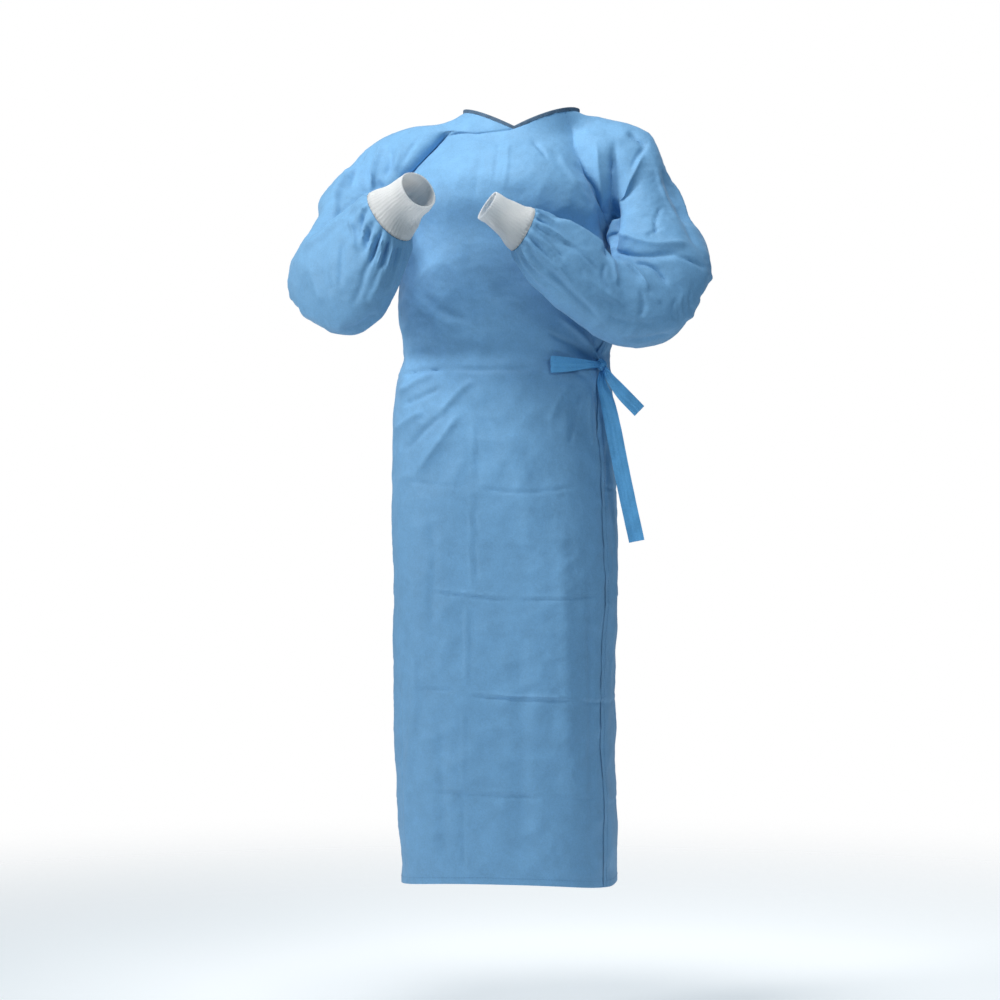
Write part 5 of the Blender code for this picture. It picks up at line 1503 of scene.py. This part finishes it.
class GownLooks(PropertyGroup):
    """Sizes and colours of the gown's finish."""

    cloth_colour: FloatVectorProperty(
        name="Cloth", description="Colour of the nonwoven cloth",
        subtype="COLOR", size=3, min=0.0, max=1.0, default=(0.172, 0.382, 0.630))
    tie_colour: FloatVectorProperty(
        name="Ties", description="Colour of the folded ties",
        subtype="COLOR", size=3, min=0.0, max=1.0, default=(0.110, 0.380, 0.700))
    knit_colour: FloatVectorProperty(
        name="Cuffs", description="Colour of the knitted cuffs",
        subtype="COLOR", size=3, min=0.0, max=1.0, default=(0.96, 0.96, 0.965))
    binding_colour: FloatVectorProperty(
        name="Binding", description="Colour of the neck tape",
        subtype="COLOR", size=3, min=0.0, max=1.0, default=(0.075, 0.130, 0.200))
    thread_colour: FloatVectorProperty(
        name="Thread", description="Colour of the sewing thread",
        subtype="COLOR", size=3, min=0.0, max=1.0, default=(0.130, 0.300, 0.520))
    fold_depth: FloatProperty(
        name="Fold depth", description="How deep the folds are against those measured",
        default=1.0, min=0.0, max=2.0, subtype="FACTOR")
    crumple: FloatProperty(
        name="Crumple", description="Strength of the smallest crumples",
        default=1.0, min=0.0, max=3.0, subtype="FACTOR")
    bond_step: FloatProperty(
        name="Bond points", description="Distance between the cloth's bond points",
        default=0.0016, min=0.0005, max=0.01, unit="LENGTH")
    wale: FloatProperty(
        name="Wale", description="Width of one row of knit loops",
        default=0.0017, min=0.0005, max=0.01, unit="LENGTH")
    course: FloatProperty(
        name="Course", description="Height of one knit loop",
        default=0.0015, min=0.0005, max=0.01, unit="LENGTH")
    floor_drop: FloatProperty(
        name="Floor below hem", description="Height of the hem above the floor",
        default=0.25, min=0.0, max=1.0, unit="LENGTH")
    key_power: IntProperty(
        name="Key light", description="Power of the large light, in watts",
        default=8, min=0, max=2000)


class GOWN_OT_front(Operator):
    """Front panel with its folds and stitched hem"""

    bl_idname = "gown.front"
    bl_label = "Front panel"

    def execute(self, context):
        piece, hem = front_piece()
        dress(piece, "front_panel")
        stitches = stitch_row("front_hem_stitches", *hem, finish_named("sewing_thread"), "cloth")
        return {"FINISHED"}


class GOWN_OT_backs(Operator):
    """Under back and over back with their stitched hem and edge"""

    bl_idname = "gown.backs"
    bl_label = "Backs"

    def execute(self, context):
        under = dress(under_piece(), "back_under")
        over, hem, edge = over_piece()
        dress(over, "back_over")
        thread = finish_named("sewing_thread")
        first = stitch_row("over_hem_stitches", *hem, thread, "cloth")
        second = stitch_row("over_edge_stitches", *edge, thread, "cloth")
        return {"FINISHED"}


class GOWN_OT_sleeves(Operator):
    """Both raglan sleeves with their folds and gathers"""

    bl_idname = "gown.sleeves"
    bl_label = "Sleeves"

    def execute(self, context):
        for side in ("right", "left"):
            grid, _ = cloth_grids()[side]
            cloth = add_cloth(f"sleeve_{side}_cloth", grid, finish_named("gown_cloth"), flip=side == "right")
            piece = dress(cloth, f"sleeve_{side}")
        return {"FINISHED"}


class GOWN_OT_cuffs(Operator):
    """Both knitted cuffs"""

    bl_idname = "gown.cuffs"
    bl_label = "Cuffs"

    def execute(self, context):
        for name, table, hand, end in (("cuff_right", SLEEVE_RIGHT, -1, CUFF_END_RIGHT),
                                       ("cuff_left", SLEEVE_LEFT, 1, CUFF_END_LEFT)):
            piece = dress(cuff_piece(name + "_knit", table, hand, end), name)
        return {"FINISHED"}


class GOWN_OT_binding(Operator):
    """Neck binding with its stitches"""

    bl_idname = "gown.binding"
    bl_label = "Neck binding"

    def execute(self, context):
        piece, line = binding_piece()
        dress(piece, "neck_binding")
        thread = finish_named("sewing_thread")
        stitches = stitch_row("neck_stitches", *line, thread, "binding", 0.0024, 0.0010, 0.0002)
        return {"FINISHED"}


class GOWN_OT_ties(Operator):
    """Waist tie: knot, loop, short end and long tail"""

    bl_idname = "gown.ties"
    bl_label = "Waist tie"

    def execute(self, context):
        thread = finish_named("sewing_thread")
        knot = dress(knot_piece(), "tie_knot")
        for name, rows, pleats in (
            ("tie_loop", loop_rows(120), "both"),
            ("tie_short_end", tie_rows(SHORT_END, SHORT_END_LEAVES, 60), "start"),
            ("tie_long_tail", tie_rows(LONG_TAIL, LONG_TAIL_LEAVES, 150), "start"),
        ):
            piece, lines = ribbon_piece(name + "_cloth", *rows, pleats)
            dress(piece, name)
            rows = []
            for number, (line, normals) in enumerate(lines):
                row_name = f"{name}_stitches_{number}"
                rows.append(stitch_row(row_name, line, normals, thread, "tie", 0.0026, 0.0011, 0.0002))
        return {"FINISHED"}


class GOWN_OT_stage(Operator):
    """Pale floor, soft studio light and the camera"""

    bl_idname = "gown.stage"
    bl_label = "Stage"

    def execute(self, context):
        looks = context.scene.gown_looks
        make_floor(HEM - looks.floor_drop)
        make_world(context.scene)
        make_lights(looks.key_power)
        make_camera(context.scene)
        return {"FINISHED"}


def make_floor(height):
    """A pale floor that fades into the surround."""
    bpy.ops.mesh.primitive_circle_add(vertices=96, radius=3.4, fill_type="NGON", location=(0.0, 0.0, height))
    floor = bpy.context.object
    floor.name = "studio_floor"
    made = bpy.data.materials.new("studio_floor")
    made.use_nodes = True
    tree = made.node_tree
    shader = tree.nodes["Principled BSDF"]
    shader.inputs["Base Color"].default_value = (0.93, 0.93, 0.93, 1.0)
    shader.inputs["Roughness"].default_value = 0.8
    shader.inputs["Emission Color"].default_value = (1.0, 1.0, 1.0, 1.0)
    shader.inputs["Emission Strength"].default_value = 0.50
    place = node(tree, "ShaderNodeTexCoord", (-900, 0))
    length = node(tree, "ShaderNodeVectorMath", (-700, 0), operation="LENGTH")
    tree.links.new(place.outputs["Object"], length.inputs[0])
    fade = node(tree, "ShaderNodeMapRange", (-500, 0), interpolation_type="SMOOTHSTEP")
    for number, value in ((1, 0.9), (2, 3.2), (3, 1.0), (4, 0.0)):
        fade.inputs[number].default_value = value
    tree.links.new(length.outputs["Value"], fade.inputs[0])
    tree.links.new(fade.outputs[0], shader.inputs["Alpha"])
    floor.data.materials.append(made)


def make_world(scene):
    """Even pale surround that lights the shadows softly."""
    world = bpy.data.worlds.new("studio")
    scene.world = world
    world.use_nodes = True
    tree = world.node_tree
    tree.nodes.clear()
    path = node(tree, "ShaderNodeLightPath", (-600, 200))
    ambient = node(tree, "ShaderNodeBackground", (-300, 0))
    ambient.inputs[0].default_value = (0.47, 0.78, 1.0, 1.0)
    ambient.inputs[1].default_value = AMBIENT
    surround = node(tree, "ShaderNodeBackground", (-300, -200))
    surround.inputs[0].default_value = (1.0, 1.0, 1.0, 1.0)
    surround.inputs[1].default_value = 1.0
    mix = node(tree, "ShaderNodeMixShader", (0, 0))
    tree.links.new(path.outputs["Is Camera Ray"], mix.inputs[0])
    tree.links.new(ambient.outputs[0], mix.inputs[1])
    tree.links.new(surround.outputs[0], mix.inputs[2])
    output = node(tree, "ShaderNodeOutputWorld", (200, 0))
    tree.links.new(mix.outputs[0], output.inputs[0])
    scene.view_settings.view_transform = "Standard"


def add_light(name, place, target, size, power, colour, spread=180.0):
    """A large soft light that faces a point."""
    light = bpy.data.lights.new(name, "AREA")
    light.shape = "DISK"
    light.size = size
    light.energy = power
    light.color = colour
    light.spread = math.radians(spread)
    made = bpy.data.objects.new(name, light)
    made.location = place
    made.rotation_euler = (Vector(target) - Vector(place)).to_track_quat("-Z", "Y").to_euler()
    bpy.context.scene.collection.objects.link(made)
    return made


def make_lights(power):
    """Key light at the front left above, one below it, one over the chest, a weak fill and a back light."""
    add_light("key_light", (-2.75, -1.95, 0.90), (0.0, 0.0, 0.04), 1.0, power, (1.0, 0.97, 0.93), 58.0)
    add_light("low_light", (-2.6, -2.2, -0.5), (0.0, 0.0, -0.7), 1.2, power * 0.28, (1.0, 0.97, 0.93), 60.0)
    add_light("top_light", (-0.2, -0.9, 2.2), (0.0, -0.05, 0.0), 0.9, power * 0.60, (1.0, 0.98, 0.95), 50.0)
    add_light("fill_light", (1.9, -2.7, 0.9), (0.22, -0.1, -0.12), 0.9, power * 0.10, (0.90, 0.96, 1.0), 34.0)
    add_light("back_light", (0.8, 2.8, 1.2), (0.0, 0.0, -0.5), 2.0, power * 0.70, (0.96, 0.98, 1.0))


def make_camera(scene):
    """Camera at the photograph's angle: level with the hips and turned a little to the wearer's left."""
    data = bpy.data.cameras.new("camera")
    data.sensor_width = 36.0
    data.lens = 36.0 * VIEW_DISTANCE / PICTURE_WIDTH
    camera = bpy.data.objects.new("camera", data)
    along = Vector((-math.sin(VIEW_TURN), math.cos(VIEW_TURN), 0.0))
    aside = Vector((math.cos(VIEW_TURN), math.sin(VIEW_TURN), 0.0))
    camera.location = aside * VIEW_ACROSS - along * VIEW_DISTANCE + Vector((0.0, 0.0, VIEW_UP))
    camera.rotation_euler = along.to_track_quat("-Z", "Y").to_euler()
    scene.collection.objects.link(camera)
    scene.camera = camera


class GOWN_PT_panel(Panel):
    """The gown's pieces and settings"""

    bl_idname = "GOWN_PT_panel"
    bl_label = "Surgical gown"
    bl_space_type = "VIEW_3D"
    bl_region_type = "UI"
    bl_category = "Gown"

    def draw(self, context):
        looks = context.scene.gown_looks
        for name in GownLooks.__annotations__:
            self.layout.prop(looks, name)
        for operator in OPERATORS:
            self.layout.operator(operator.bl_idname)


OPERATORS = (
    GOWN_OT_front,
    GOWN_OT_backs,
    GOWN_OT_sleeves,
    GOWN_OT_cuffs,
    GOWN_OT_binding,
    GOWN_OT_ties,
    GOWN_OT_stage,
)
CLASSES = (GownLooks, *OPERATORS, GOWN_PT_panel)


def register():
    """Register the gown's settings, operators and panel."""
    for each in CLASSES:
        bpy.utils.register_class(each)
    bpy.types.Scene.gown_looks = PointerProperty(type=GownLooks)


def unregister():
    """Take them away again."""
    del bpy.types.Scene.gown_looks
    for each in reversed(CLASSES):
        bpy.utils.unregister_class(each)


def main():
    """Build every piece and the stage."""
    register()
    bpy.ops.gown.stage()
    bpy.ops.gown.front()
    bpy.ops.gown.backs()
    bpy.ops.gown.sleeves()
    bpy.ops.gown.cuffs()
    bpy.ops.gown.binding()
    bpy.ops.gown.ties()


if __name__ == "__main__":
    main()
